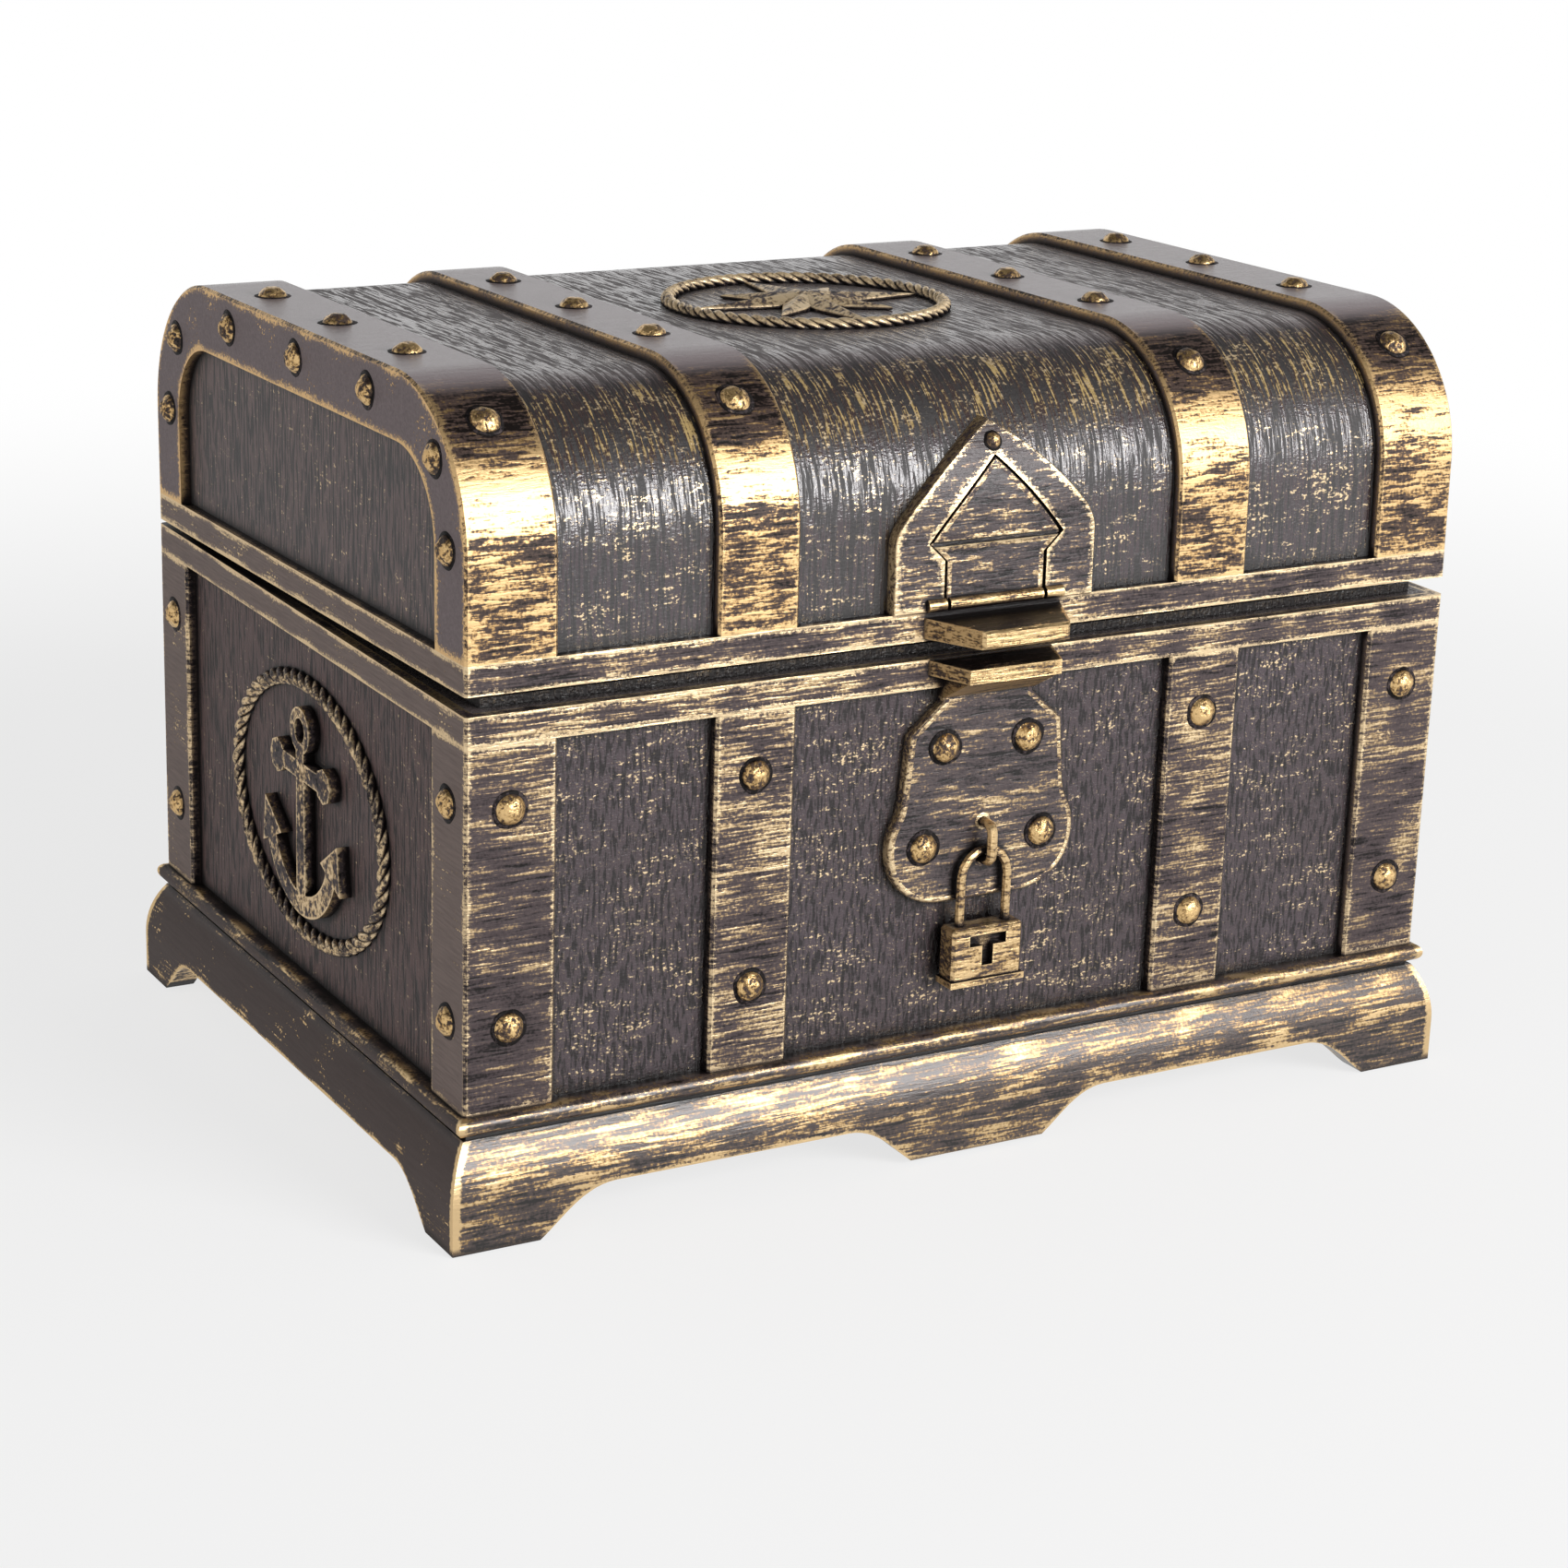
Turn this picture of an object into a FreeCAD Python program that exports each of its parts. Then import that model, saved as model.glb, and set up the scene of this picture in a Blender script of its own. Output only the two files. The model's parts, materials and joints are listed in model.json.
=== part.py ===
"""A small domed treasure chest with a hinged lid, strap work, clasp, staple and hanging padlock.

Millimetres. X runs left to right along the front, the front faces -Y, Z is up.
The chest is drawn about the middle of its plinth, then moved so that the origin
is on the floor below the middle of the whole outline, clasp and hinges included.
"""
import FreeCAD, Part
import math
import os

V = FreeCAD.Vector

# Overall size
CHEST_LENGTH = 200.0
CHEST_DEPTH = 143.2
RIM_LEVEL = 89.6
LID_RISE = 47.1
LID_GAP = 0.8
LID_AJAR_DEG = 1.0

# Plinth: bracket feet, fascia, rounded shoulder, groove and bead
PLINTH_HEIGHT = 22.4
PLINTH_REACH = 5.5
FASCIA_HEIGHT = 8.0
SHOULDER_REACH = 2.2
GROOVE_HEIGHT = 0.8
BEAD_HEIGHT = 3.2
BEAD_REACH = 3.6
APRON_LIFT = 8.1
FOOT_LENGTH = 15.7
FOOT_CURVE = 13.7
END_FOOT_LENGTH = 10.8
END_FOOT_CURVE = 12.8
DROP_WIDTH = 27.0
DROP_CURVE = 12.6
DROP_LIFT = 0.7
bracket_run_shares = (0.30, 0.55)
bracket_rise_shares = (0.38, 0.98)

# Body shell
BODY_WALL = 3.4
FLOOR_LEVEL = 9.4
FLOOR_THICKNESS = 2.4
TONGUE_HEIGHT = 1.5
TONGUE_CLEARANCE = 0.4

# Strap work, the same thickness on body and lid
STRAP_THICKNESS = 2.0
STRAP_WIDTH = 14.8
STRAP_OFFSET = 44.6
CORNER_FRONT_WIDTH = 16.0
CORNER_END_WIDTH = 13.2
RIM_HEIGHT = 5.1
EDGE_CHAMFER = 0.45

# Lid
LID_WALL = 2.0
LID_CORNER_RADIUS = 26.0
LID_RIM_HEIGHT = 5.0
END_FRAME_WIDTH = 11.5

# Domed rivets, their heads hammered into flats
rivet_sides = 8
rivet_ring_shares = (1.0, 0.5)
RIVET_RADIUS = 2.35
RIVET_RISE = 1.7
RIVET_SKIRT = 0.4
BODY_RIVET_LOW = 36.8
BODY_RIVET_HIGH = 73.7
END_RIVET_INSET = 6.8
CORNER_RIVET_INSET = 7.8
TOP_RIVET_PITCH = 29.0
CURVE_RIVET_DEG = 51.0
FRAME_RIVET_LIFT = 22.0
FRAME_RIVET_PITCH = 30.5
frame_rivet_depth_share = 0.47

# Lock plate, staple and catch ledge on the body's front
PLATE_THICKNESS = 2.2
PLATE_BOTTOM = 46.0
PLATE_HALF_WIDTH = 18.5
plate_neck_share = 0.48
plate_neck_level_share = 0.93
plate_shoulder_share = 0.81
plate_shoulder_level_share = 0.79
plate_waist_share = 0.865
plate_waist_level_share = 0.506
plate_belly_level_share = 0.273
plate_foot_share = 0.42
plate_rivet_shares = ((0.443, 0.722), (0.638, 0.27))
LEDGE_REACH = 8.1
LEDGE_HEIGHT = 2.5
LEDGE_DROP = 0.2
LEDGE_BRACKET = 4.3
LEDGE_ROOT_HALF = 12.2
LEDGE_FRONT_HALF = 9.0
wire_sides = 8
BEND_STEP_DEG = 22.5
STAPLE_WIRE_RADIUS = 0.9
STAPLE_LOW = 53.1
STAPLE_PITCH = 6.6
STAPLE_BEND = 1.6
STAPLE_BED = 1.4
STAPLE_CLEARANCE = 0.3

# Padlock hanging on the staple
SHACKLE_WIRE_RADIUS = 0.8
SHACKLE_HALF_WIDTH = 4.6
SHACKLE_REST_GAP = 0.25
SHACKLE_PLATE_GAP = 0.35
SHACKLE_BED = 2.4
CASE_TOP = 41.8
CASE_HEIGHT = 10.4
CASE_WIDTH = 14.0
CASE_THICKNESS = 4.6
CASE_LEDGE_OUT = 0.4
CASE_LEDGE_HEIGHT = 1.1
CASE_CHAMFER = 0.5
KEYHOLE_DEPTH = 1.4
KEYHOLE_BAR_WIDTH = 7.3
KEYHOLE_BAR_HEIGHT = 2.0
KEYHOLE_STEM_WIDTH = 2.2
KEYHOLE_STEM_HEIGHT = 3.6
KEYHOLE_DROP = 1.4

# Clasp on the lid's front
HASP_THICKNESS = 2.5
HASP_APEX_RISE = 35.8
HASP_HALF_WIDTH = 19.6
HASP_GROOVE = 0.55
HASP_RECESS = 1.3
hasp_side_share = 0.58
hasp_side_level_share = 0.73
hasp_shoulder_share = 0.90
hasp_shoulder_level_share = 0.52
hasp_leg_level_share = 0.37
INNER_APEX_RISE = 29.8
INNER_HALF_WIDTH = 12.7
INNER_STEM_HALF = 9.5
inner_side_share = 0.53
inner_side_level_share = 0.735
inner_hip_level_share = 0.456
inner_step_level_share = 0.335
HASP_LINE_WIDTH = 0.7
HASP_LINE_DEPTH = 0.45
HASP_RIVET_DROP = 3.6
HASP_RIVET_RADIUS = 1.25
HASP_RIVET_RISE = 1.0
KNUCKLE_BEAD_RADIUS = 1.1
KNUCKLE_BEAD_HALF = 13.3
KNUCKLE_BEAD_SLIT = 0.7
LIP_REACH = 10.9
LIP_LIFT = 0.5
LIP_FRONT_HEIGHT = 3.1
LIP_ROOT_HEIGHT = 3.5
LIP_ROOT_HALF = 13.4
LIP_FRONT_HALF = 8.4

# Relief on the ends and the lid
RELIEF_THICKNESS = 2.2
EMBLEM_LEVEL = 53.6
ANCHOR_HEIGHT = 38.0
ANCHOR_BAR = 4.0
ANCHOR_SWEEP_DEG = 66.0
anchor_neck_share = 0.8
anchor_ring_share = 0.085
anchor_arm_share = 0.38
anchor_stock_share = 0.27
anchor_stock_level_share = 0.2
anchor_fluke_share = 0.2
anchor_wing_share = 0.62
anchor_eye_sides = 16
anchor_knob_sides = 8
ROPE_WIDTH = 3.2
ROPE_THICKNESS = 1.8
OVAL_HALF_LENGTH = 34.5
OVAL_HALF_HEIGHT = 24.5
oval_sides = 44
COMPASS_RADIUS = 26.0
COMPASS_RING_WIDTH = 2.6
COMPASS_RING_HEIGHT = 1.9
COMPASS_SET_FORWARD = 3.0
COMPASS_RISE = 2.6
COMPASS_EDGE = 0.7
compass_sides = 48
compass_long_share = 0.88
compass_short_share = 0.62
compass_notch_share = 0.26

# Back hinges
HINGE_OFFSET = 44.6
LEAF_WIDTH = 14.0
LEAF_HEIGHT = 11.5
LEAF_THICKNESS = 1.4
LEAF_LIFT = 0.5
HINGE_KNUCKLE_RADIUS = 2.6
HINGE_STANDOFF = 0.45
HINGE_KNUCKLE_GAP = 0.35
HINGE_MIDDLE_LENGTH = 5.0
knuckle_sides = 16
PIN_RADIUS = 1.2
PIN_RUNNING_CLEARANCE = 0.05
PIN_HEAD_RADIUS = 1.9
PIN_HEAD_HEIGHT = 0.8
STOP_REACH = 4.4
STOP_WIDTH = 2.2
STOP_CLEARANCE = 0.35
LID_OPEN_DEG = 105.0
LEAF_RIVET_RADIUS = 1.2
LEAF_RIVET_RISE = 0.7
LEAF_RIVET_INSET = 3.0
leaf_rivet_share = 0.27

# Derived sizes
half_length = CHEST_LENGTH / 2
half_depth = CHEST_DEPTH / 2
groove_top = PLINTH_HEIGHT - BEAD_HEIGHT
shoulder_top = groove_top - GROOVE_HEIGHT
panel_x = half_length - PLINTH_REACH
panel_y = half_depth - PLINTH_REACH
strap_x = panel_x + STRAP_THICKNESS
strap_y = panel_y + STRAP_THICKNESS
lid_seat = RIM_LEVEL + LID_GAP
lid_rail_top = lid_seat + LID_RIM_HEIGHT
body_rail_foot = RIM_LEVEL - RIM_HEIGHT
lid_top = lid_seat + LID_RISE
lid_panel_top = lid_top - STRAP_THICKNESS
hinge_y = strap_y + HINGE_STANDOFF + HINGE_KNUCKLE_RADIUS
hinge_z = RIM_LEVEL + LID_GAP / 2
plate_face_y = panel_y + PLATE_THICKNESS
shackle_y = plate_face_y + SHACKLE_PLATE_GAP + SHACKLE_WIRE_RADIUS
staple_y = shackle_y + SHACKLE_WIRE_RADIUS + STAPLE_CLEARANCE + STAPLE_WIRE_RADIUS
shackle_top = STAPLE_LOW + STAPLE_WIRE_RADIUS + SHACKLE_REST_GAP + SHACKLE_WIRE_RADIUS
corner_strap_x = strap_x - CORNER_FRONT_WIDTH
front_reach = strap_y + LIP_REACH
back_reach = hinge_y + STOP_REACH
frame_shift = V(0, (front_reach - back_reach) / 2, 0)


# Small helpers
def block(x0, x1, y0, y1, z0, z1):
    return Part.makeBox(x1 - x0, y1 - y0, z1 - z0, V(x0, y0, z0))


def face_of(points):
    return Part.Face(Part.makePolygon(list(points) + [points[0]]))


def fused(shapes):
    whole = shapes[0].fuse(list(shapes[1:])) if len(shapes) > 1 else shapes[0]
    return whole.removeSplitter()


def chamfered(shape, size, wanted):
    edges = [e for e in shape.Edges if wanted(e)]
    return shape.makeChamfer(size, edges) if edges else shape


def middle(edge):
    return edge.valueAt((edge.FirstParameter + edge.LastParameter) / 2)


def outward(faces):
    """A closed solid from flat faces."""
    solid = Part.Solid(Part.Shell(faces))
    return solid if solid.Volume > 0 else solid.reversed()


def mirrored_x(shape):
    return shape.mirror(V(0, 0, 0), V(1, 0, 0))


def mirrored_y(shape):
    return shape.mirror(V(0, 0, 0), V(0, 1, 0))


def turned(shape, degrees):
    """Turn a shape about the hinge line, positive degrees raising the lid's front."""
    copy = shape.copy()
    copy.rotate(V(0, hinge_y, hinge_z), V(-1, 0, 0), degrees)
    return copy


def around(sides):
    """The directions of a regular outline's corners, in radians."""
    return [2 * math.pi * k / sides for k in range(sides)]


def skin(rings):
    """Flat faces between rings of corners, one ring after the other."""
    faces = []
    for near, far in zip(rings, rings[1:]):
        for k in range(len(near)):
            n = (k + 1) % len(near)
            faces.append(face_of([near[k], near[n], far[n], far[k]]))
    return faces


def wire_start(radius, at, way, side):
    """The corners of a wire's section across its way, one of them towards the given side."""
    up = way.cross(side)
    return [at + (side * math.cos(a) + up * math.sin(a)) * radius for a in around(wire_sides)]


def run_on(rings, move):
    rings.append([p + move for p in rings[-1]])


def bend_on(rings, centre, axis, degrees):
    """Carry a wire on round a bend, in short straight runs."""
    steps = round(degrees / BEND_STEP_DEG)
    turn = FreeCAD.Rotation(axis, degrees / steps)
    for _ in range(steps):
        rings.append([centre + turn.multVec(p - centre) for p in rings[-1]])


def wire_solid(rings):
    return outward([face_of(rings[0]), face_of(rings[-1])] + skin(rings))


pieces = {}


def keep(name, shape):
    pieces[name] = shape


def keep_lid(name, shape):
    pieces[name] = turned(shape, LID_AJAR_DEG)


# Plinth boards, mitred at the corners
def plinth_profile(run, inner):
    """The moulding's section on the front board, drawn at the run's start."""
    def p(reach, z):
        return V(run, -(inner + reach), z)

    rise = shoulder_top - FASCIA_HEIGHT
    swell = PLINTH_REACH - SHOULDER_REACH
    round_radius = (rise * rise + swell * swell) / (2 * swell)
    half_turn = math.atan(swell / rise)
    bead_half = BEAD_HEIGHT / 2
    groove_reach = SHOULDER_REACH - GROOVE_HEIGHT
    bead_flat = BEAD_REACH - bead_half
    edges = [
        Part.LineSegment(p(0, 0), p(PLINTH_REACH, 0)),
        Part.LineSegment(p(PLINTH_REACH, 0), p(PLINTH_REACH, FASCIA_HEIGHT)),
        Part.Arc(p(PLINTH_REACH, FASCIA_HEIGHT),
                 p(PLINTH_REACH - round_radius * (1 - math.cos(half_turn)),
                   FASCIA_HEIGHT + round_radius * math.sin(half_turn)),
                 p(SHOULDER_REACH, shoulder_top)),
        Part.LineSegment(p(SHOULDER_REACH, shoulder_top), p(groove_reach, shoulder_top)),
        Part.LineSegment(p(groove_reach, shoulder_top), p(groove_reach, groove_top)),
        Part.LineSegment(p(groove_reach, groove_top), p(bead_flat, groove_top)),
        Part.Arc(p(bead_flat, groove_top), p(BEAD_REACH, groove_top + bead_half),
                 p(bead_flat, PLINTH_HEIGHT)),
        Part.LineSegment(p(bead_flat, PLINTH_HEIGHT), p(0, PLINTH_HEIGHT)),
        Part.LineSegment(p(0, PLINTH_HEIGHT), p(0, 0)),
    ]
    return Part.Face(Part.Wire([e.toShape() for e in edges]))


def bracket_curve(start, run, low, high):
    """One bracket foot's curve, from its foot at the floor up to the apron."""
    s1, s2 = bracket_run_shares
    t1, t2 = bracket_rise_shares
    rise = high - low
    curve = Part.BezierCurve()
    curve.setPoles([V(start, 0, low), V(start + run * s1, 0, low + rise * t1),
                    V(start + run * s2, 0, low + rise * t2), V(start + run, 0, high)])
    return curve.toShape()


def apron_cut(half_run, foot, curve, drop, depth):
    """The space under one board, cut from front to back: two feet and perhaps a middle drop."""
    left_foot = -half_run + foot
    under = -APRON_LIFT
    first = bracket_curve(left_foot, curve, 0, APRON_LIFT)
    lines = [first]
    if drop:
        left_drop = -DROP_WIDTH / 2
        drop_curve = bracket_curve(left_drop, -DROP_CURVE, DROP_LIFT, APRON_LIFT)
        lines.append(Part.makeLine(V(left_foot + curve, 0, APRON_LIFT),
                                   V(left_drop - DROP_CURVE, 0, APRON_LIFT)))
        lines.append(drop_curve)
        lines.append(Part.makeLine(V(left_drop, 0, DROP_LIFT), V(-left_drop, 0, DROP_LIFT)))
        lines.append(drop_curve.mirror(V(0, 0, 0), V(1, 0, 0)))
        lines.append(Part.makeLine(V(-left_drop + DROP_CURVE, 0, APRON_LIFT),
                                   V(-left_foot - curve, 0, APRON_LIFT)))
    else:
        lines.append(Part.makeLine(V(left_foot + curve, 0, APRON_LIFT),
                                   V(-left_foot - curve, 0, APRON_LIFT)))
    lines.append(first.mirror(V(0, 0, 0), V(1, 0, 0)))
    lines.append(Part.makeLine(V(-left_foot, 0, 0), V(-left_foot, 0, under)))
    lines.append(Part.makeLine(V(-left_foot, 0, under), V(left_foot, 0, under)))
    lines.append(Part.makeLine(V(left_foot, 0, under), V(left_foot, 0, 0)))
    face = Part.Face(Part.Wire(Part.__sortEdges__(lines)))
    return face.extrude(V(0, -depth, 0))


def plinth_board(half_run, inner, inner_run, foot, curve, drop):
    outer = inner + PLINTH_REACH
    bar = plinth_profile(-half_run, inner).extrude(V(2 * half_run, 0, 0))
    mitre = face_of([V(-half_run, -outer, 0), V(half_run, -outer, 0),
                     V(inner_run, -inner, 0), V(-inner_run, -inner, 0)])
    board = bar.common(mitre.extrude(V(0, 0, PLINTH_HEIGHT)))
    return board.cut(apron_cut(half_run, foot, curve, drop, 2 * outer))


front_board = plinth_board(half_length, panel_y, panel_x, FOOT_LENGTH, FOOT_CURVE, True)
keep("plinth_front", front_board)
keep("plinth_back", mirrored_y(front_board))
end_board = plinth_board(half_depth, panel_x, panel_y, END_FOOT_LENGTH, END_FOOT_CURVE, False)
end_board.rotate(V(0, 0, 0), V(0, 0, 1), -90)
keep("plinth_left", end_board)
keep("plinth_right", mirrored_x(end_board))

# Body shell with a floor and a raised tongue that registers the lid
cavity_x = panel_x - BODY_WALL
cavity_y = panel_y - BODY_WALL
tongue_x = panel_x - LID_WALL - TONGUE_CLEARANCE
tongue_y = panel_y - LID_WALL - TONGUE_CLEARANCE
tongue_top = RIM_LEVEL + TONGUE_HEIGHT
shell = block(-panel_x, panel_x, -panel_y, panel_y, FLOOR_LEVEL, RIM_LEVEL)
shell = shell.fuse(block(-tongue_x, tongue_x, -tongue_y, tongue_y, FLOOR_LEVEL, tongue_top))
shell = shell.cut(block(-cavity_x, cavity_x, -cavity_y, cavity_y,
                        FLOOR_LEVEL + FLOOR_THICKNESS, tongue_top + TONGUE_HEIGHT))
keep("body_shell", shell.removeSplitter())


# Rim bands round the body's mouth and the lid's edge
def rim_band(low, high):
    band = block(-strap_x, strap_x, -strap_y, strap_y, low, high)
    band = chamfered(band, EDGE_CHAMFER,
                     lambda e: abs(abs(middle(e).x) - strap_x) < EDGE_CHAMFER
                     and abs(abs(middle(e).y) - strap_y) < EDGE_CHAMFER)
    return band.cut(block(-panel_x, panel_x, -panel_y, panel_y, low - RIM_HEIGHT, high + RIM_HEIGHT))


keep("body_rim_band", rim_band(body_rail_foot, RIM_LEVEL))
keep_lid("lid_rim_band", rim_band(lid_seat, lid_rail_top))


# Body straps and corner irons, standing on the plinth's bead
def body_strap(x0, x1):
    bar = block(x0, x1, -strap_y, -panel_y, PLINTH_HEIGHT, body_rail_foot)
    return chamfered(bar, EDGE_CHAMFER,
                     lambda e: abs(middle(e).y + strap_y) < EDGE_CHAMFER / 2
                     and abs(middle(e).z - (PLINTH_HEIGHT + body_rail_foot) / 2) < STRAP_WIDTH)


def corner_iron():
    """The front left corner: an angle with a wide front leg and a narrower end leg."""
    iron = block(-strap_x, -corner_strap_x, -strap_y, -panel_y, PLINTH_HEIGHT, body_rail_foot)
    end_leg = block(-strap_x, -panel_x, -strap_y, -strap_y + CORNER_END_WIDTH,
                    PLINTH_HEIGHT, body_rail_foot)
    iron = fused([iron, end_leg])
    half_way = (PLINTH_HEIGHT + body_rail_foot) / 2

    def outer_edge(e):
        m = middle(e)
        upright = abs(m.z - half_way) < STRAP_WIDTH
        on_front = abs(m.y + strap_y) < EDGE_CHAMFER / 2
        on_end = abs(m.x + strap_x) < EDGE_CHAMFER / 2
        return upright and (on_front or on_end)

    return chamfered(iron, EDGE_CHAMFER, outer_edge)


left_strap = body_strap(-STRAP_OFFSET - STRAP_WIDTH / 2, -STRAP_OFFSET + STRAP_WIDTH / 2)
keep("body_strap_front_left", left_strap)
keep("body_strap_front_right", mirrored_x(left_strap))
keep("body_strap_back_left", mirrored_y(left_strap))
keep("body_strap_back_right", mirrored_y(mirrored_x(left_strap)))
iron = corner_iron()
keep("body_corner_front_left", iron)
keep("body_corner_front_right", mirrored_x(iron))
keep("body_corner_back_left", mirrored_y(iron))
keep("body_corner_back_right", mirrored_y(mirrored_x(iron)))


# Rivets
def ring_of(radius, level):
    return [V(radius * math.cos(a), radius * math.sin(a), level) for a in around(rivet_sides)]


def rivet(radius, rise, skirt=0):
    """A hammered head with its foot at the origin, looking up; the skirt goes below the foot."""
    ball = (radius * radius + rise * rise) / (2 * rise)
    spread = math.asin(radius / ball)
    rings = [ring_of(radius, -skirt)] if skirt else []
    for share in rivet_ring_shares:
        a = spread * share
        rings.append(ring_of(ball * math.sin(a), rise - ball + ball * math.cos(a)))
    faces = [face_of(rings[0])] + skin(rings)
    peak = V(0, 0, rise)
    last = rings[-1]
    faces += [face_of([last[k - 1], last[k], peak]) for k in range(rivet_sides)]
    return outward(faces)


def placed(shape, at, looking):
    copy = shape.copy()
    copy.Placement = FreeCAD.Placement(at, FreeCAD.Rotation(V(0, 0, 1), looking))
    return copy


head = rivet(RIVET_RADIUS, RIVET_RISE)
levels = (BODY_RIVET_LOW, BODY_RIVET_HIGH)
front_columns = [side * x for x in (STRAP_OFFSET, strap_x - CORNER_RIVET_INSET) for side in (-1, 1)]
front_rivets = [placed(head, V(x, -strap_y, z), V(0, -1, 0)) for x in front_columns for z in levels]
end_columns = [side * (strap_y - END_RIVET_INSET) for side in (-1, 1)]
left_rivets = [placed(head, V(-strap_x, y, z), V(-1, 0, 0)) for y in end_columns for z in levels]
keep("body_rivets_front", Part.makeCompound(front_rivets))
keep("body_rivets_back", Part.makeCompound([mirrored_y(r) for r in front_rivets]))
keep("body_rivets_left", Part.makeCompound(left_rivets))
keep("body_rivets_right", Part.makeCompound([mirrored_x(r) for r in left_rivets]))


# Lid: one arched section, inset by different amounts for straps, panels and hollow
def arch_wire(inset, foot):
    half = strap_y - inset
    top = lid_top - inset
    radius = LID_CORNER_RADIUS - inset
    near = radius * (1 - math.sqrt(0.5))
    flat = half - radius
    edges = [
        Part.LineSegment(V(0, -half, foot), V(0, -half, top - radius)),
        Part.Arc(V(0, -half, top - radius), V(0, -half + near, top - near), V(0, -flat, top)),
        Part.LineSegment(V(0, -flat, top), V(0, flat, top)),
        Part.Arc(V(0, flat, top), V(0, half - near, top - near), V(0, half, top - radius)),
        Part.LineSegment(V(0, half, top - radius), V(0, half, foot)),
        Part.LineSegment(V(0, half, foot), V(0, -half, foot)),
    ]
    return Part.Wire([e.toShape() for e in edges])


def arch(inset, x0, x1, foot):
    face = Part.Face(arch_wire(inset, foot))
    face.translate(V(x0, 0, 0))
    return face.extrude(V(x1 - x0, 0, 0))


def on_arch(edge, inset):
    m = middle(edge)
    spot = Part.Vertex(V(0, m.y, m.z))
    return arch_wire(inset, lid_seat).distToShape(spot)[0] < EDGE_CHAMFER / 10


inner_inset = STRAP_THICKNESS + LID_WALL
lid = arch(STRAP_THICKNESS, -panel_x, panel_x, lid_seat)
lid = lid.cut(arch(inner_inset, -panel_x + LID_WALL, panel_x - LID_WALL, lid_seat - LID_RISE))
keep_lid("lid_shell", lid)


def lid_strap(x0, x1):
    strap = arch(0, x0, x1, lid_rail_top).cut(arch(STRAP_THICKNESS, x0, x1, lid_seat))
    return chamfered(strap, EDGE_CHAMFER,
                     lambda e: e.Length > EDGE_CHAMFER and on_arch(e, 0)
                     and abs(middle(e).z - lid_rail_top) > EDGE_CHAMFER
                     and abs(abs(middle(e).x - (x0 + x1) / 2) - (x1 - x0) / 2) < EDGE_CHAMFER)


left_band = lid_strap(-STRAP_OFFSET - STRAP_WIDTH / 2, -STRAP_OFFSET + STRAP_WIDTH / 2)
keep_lid("lid_strap_left", left_band)
keep_lid("lid_strap_right", mirrored_x(left_band))


def lid_binding():
    """The left end's binding: a band over the arch joined to an arched frame on the end."""
    band = arch(0, -strap_x, -corner_strap_x, lid_rail_top)
    band = band.cut(arch(STRAP_THICKNESS, -panel_x, -corner_strap_x, lid_seat))
    band = band.cut(arch(END_FRAME_WIDTH, -strap_x, -panel_x, lid_seat))
    return chamfered(band, EDGE_CHAMFER,
                     lambda e: on_arch(e, 0) and abs(middle(e).z - lid_rail_top) > EDGE_CHAMFER
                     and (abs(middle(e).x + strap_x) < EDGE_CHAMFER
                          or abs(middle(e).x + corner_strap_x) < EDGE_CHAMFER))


binding = lid_binding()
keep_lid("lid_binding_left", binding)
keep_lid("lid_binding_right", mirrored_x(binding))

# Lid rivets, their feet shaped to the bands they sit on
lid_over = arch(0, -strap_x, strap_x, lid_seat)
seated = rivet(RIVET_RADIUS, RIVET_RISE, RIVET_SKIRT)
lean = math.radians(CURVE_RIVET_DEG)
curve_y = strap_y - LID_CORNER_RADIUS + LID_CORNER_RADIUS * math.cos(lean)
curve_z = lid_top - LID_CORNER_RADIUS + LID_CORNER_RADIUS * math.sin(lean)
strap_spots = [(V(0, k * TOP_RIVET_PITCH, lid_top), V(0, 0, 1)) for k in (-1, 0, 1)]
strap_spots += [(V(0, side * curve_y, curve_z), V(0, side * math.cos(lean), math.sin(lean)))
                for side in (-1, 1)]


def strap_rivets(x):
    return [placed(seated, at + V(x, 0, 0), way).cut(lid_over) for at, way in strap_spots]


keep_lid("lid_rivets_inner_straps", Part.makeCompound(
    strap_rivets(-STRAP_OFFSET) + strap_rivets(STRAP_OFFSET)))
keep_lid("lid_rivets_end_bands", Part.makeCompound(
    strap_rivets(-strap_x + CORNER_RIVET_INSET) + strap_rivets(strap_x - CORNER_RIVET_INSET)))

frame_mid = END_FRAME_WIDTH * frame_rivet_depth_share
frame_turn = (LID_CORNER_RADIUS - frame_mid) * math.sqrt(0.5)
frame_side = strap_y - END_RIVET_INSET
frame_spots = [(0, lid_top - frame_mid)]
for side in (-1, 1):
    frame_spots.append((side * FRAME_RIVET_PITCH, lid_top - frame_mid))
    frame_spots.append((side * (strap_y - LID_CORNER_RADIUS + frame_turn),
                        lid_top - LID_CORNER_RADIUS + frame_turn))
    frame_spots.append((side * frame_side, lid_seat + FRAME_RIVET_LIFT))
frame_rivets = [placed(head, V(-strap_x, y, z), V(-1, 0, 0)) for y, z in frame_spots]
keep_lid("lid_rivets_left_end", Part.makeCompound(frame_rivets))
keep_lid("lid_rivets_right_end", Part.makeCompound([mirrored_x(r) for r in frame_rivets]))


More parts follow.
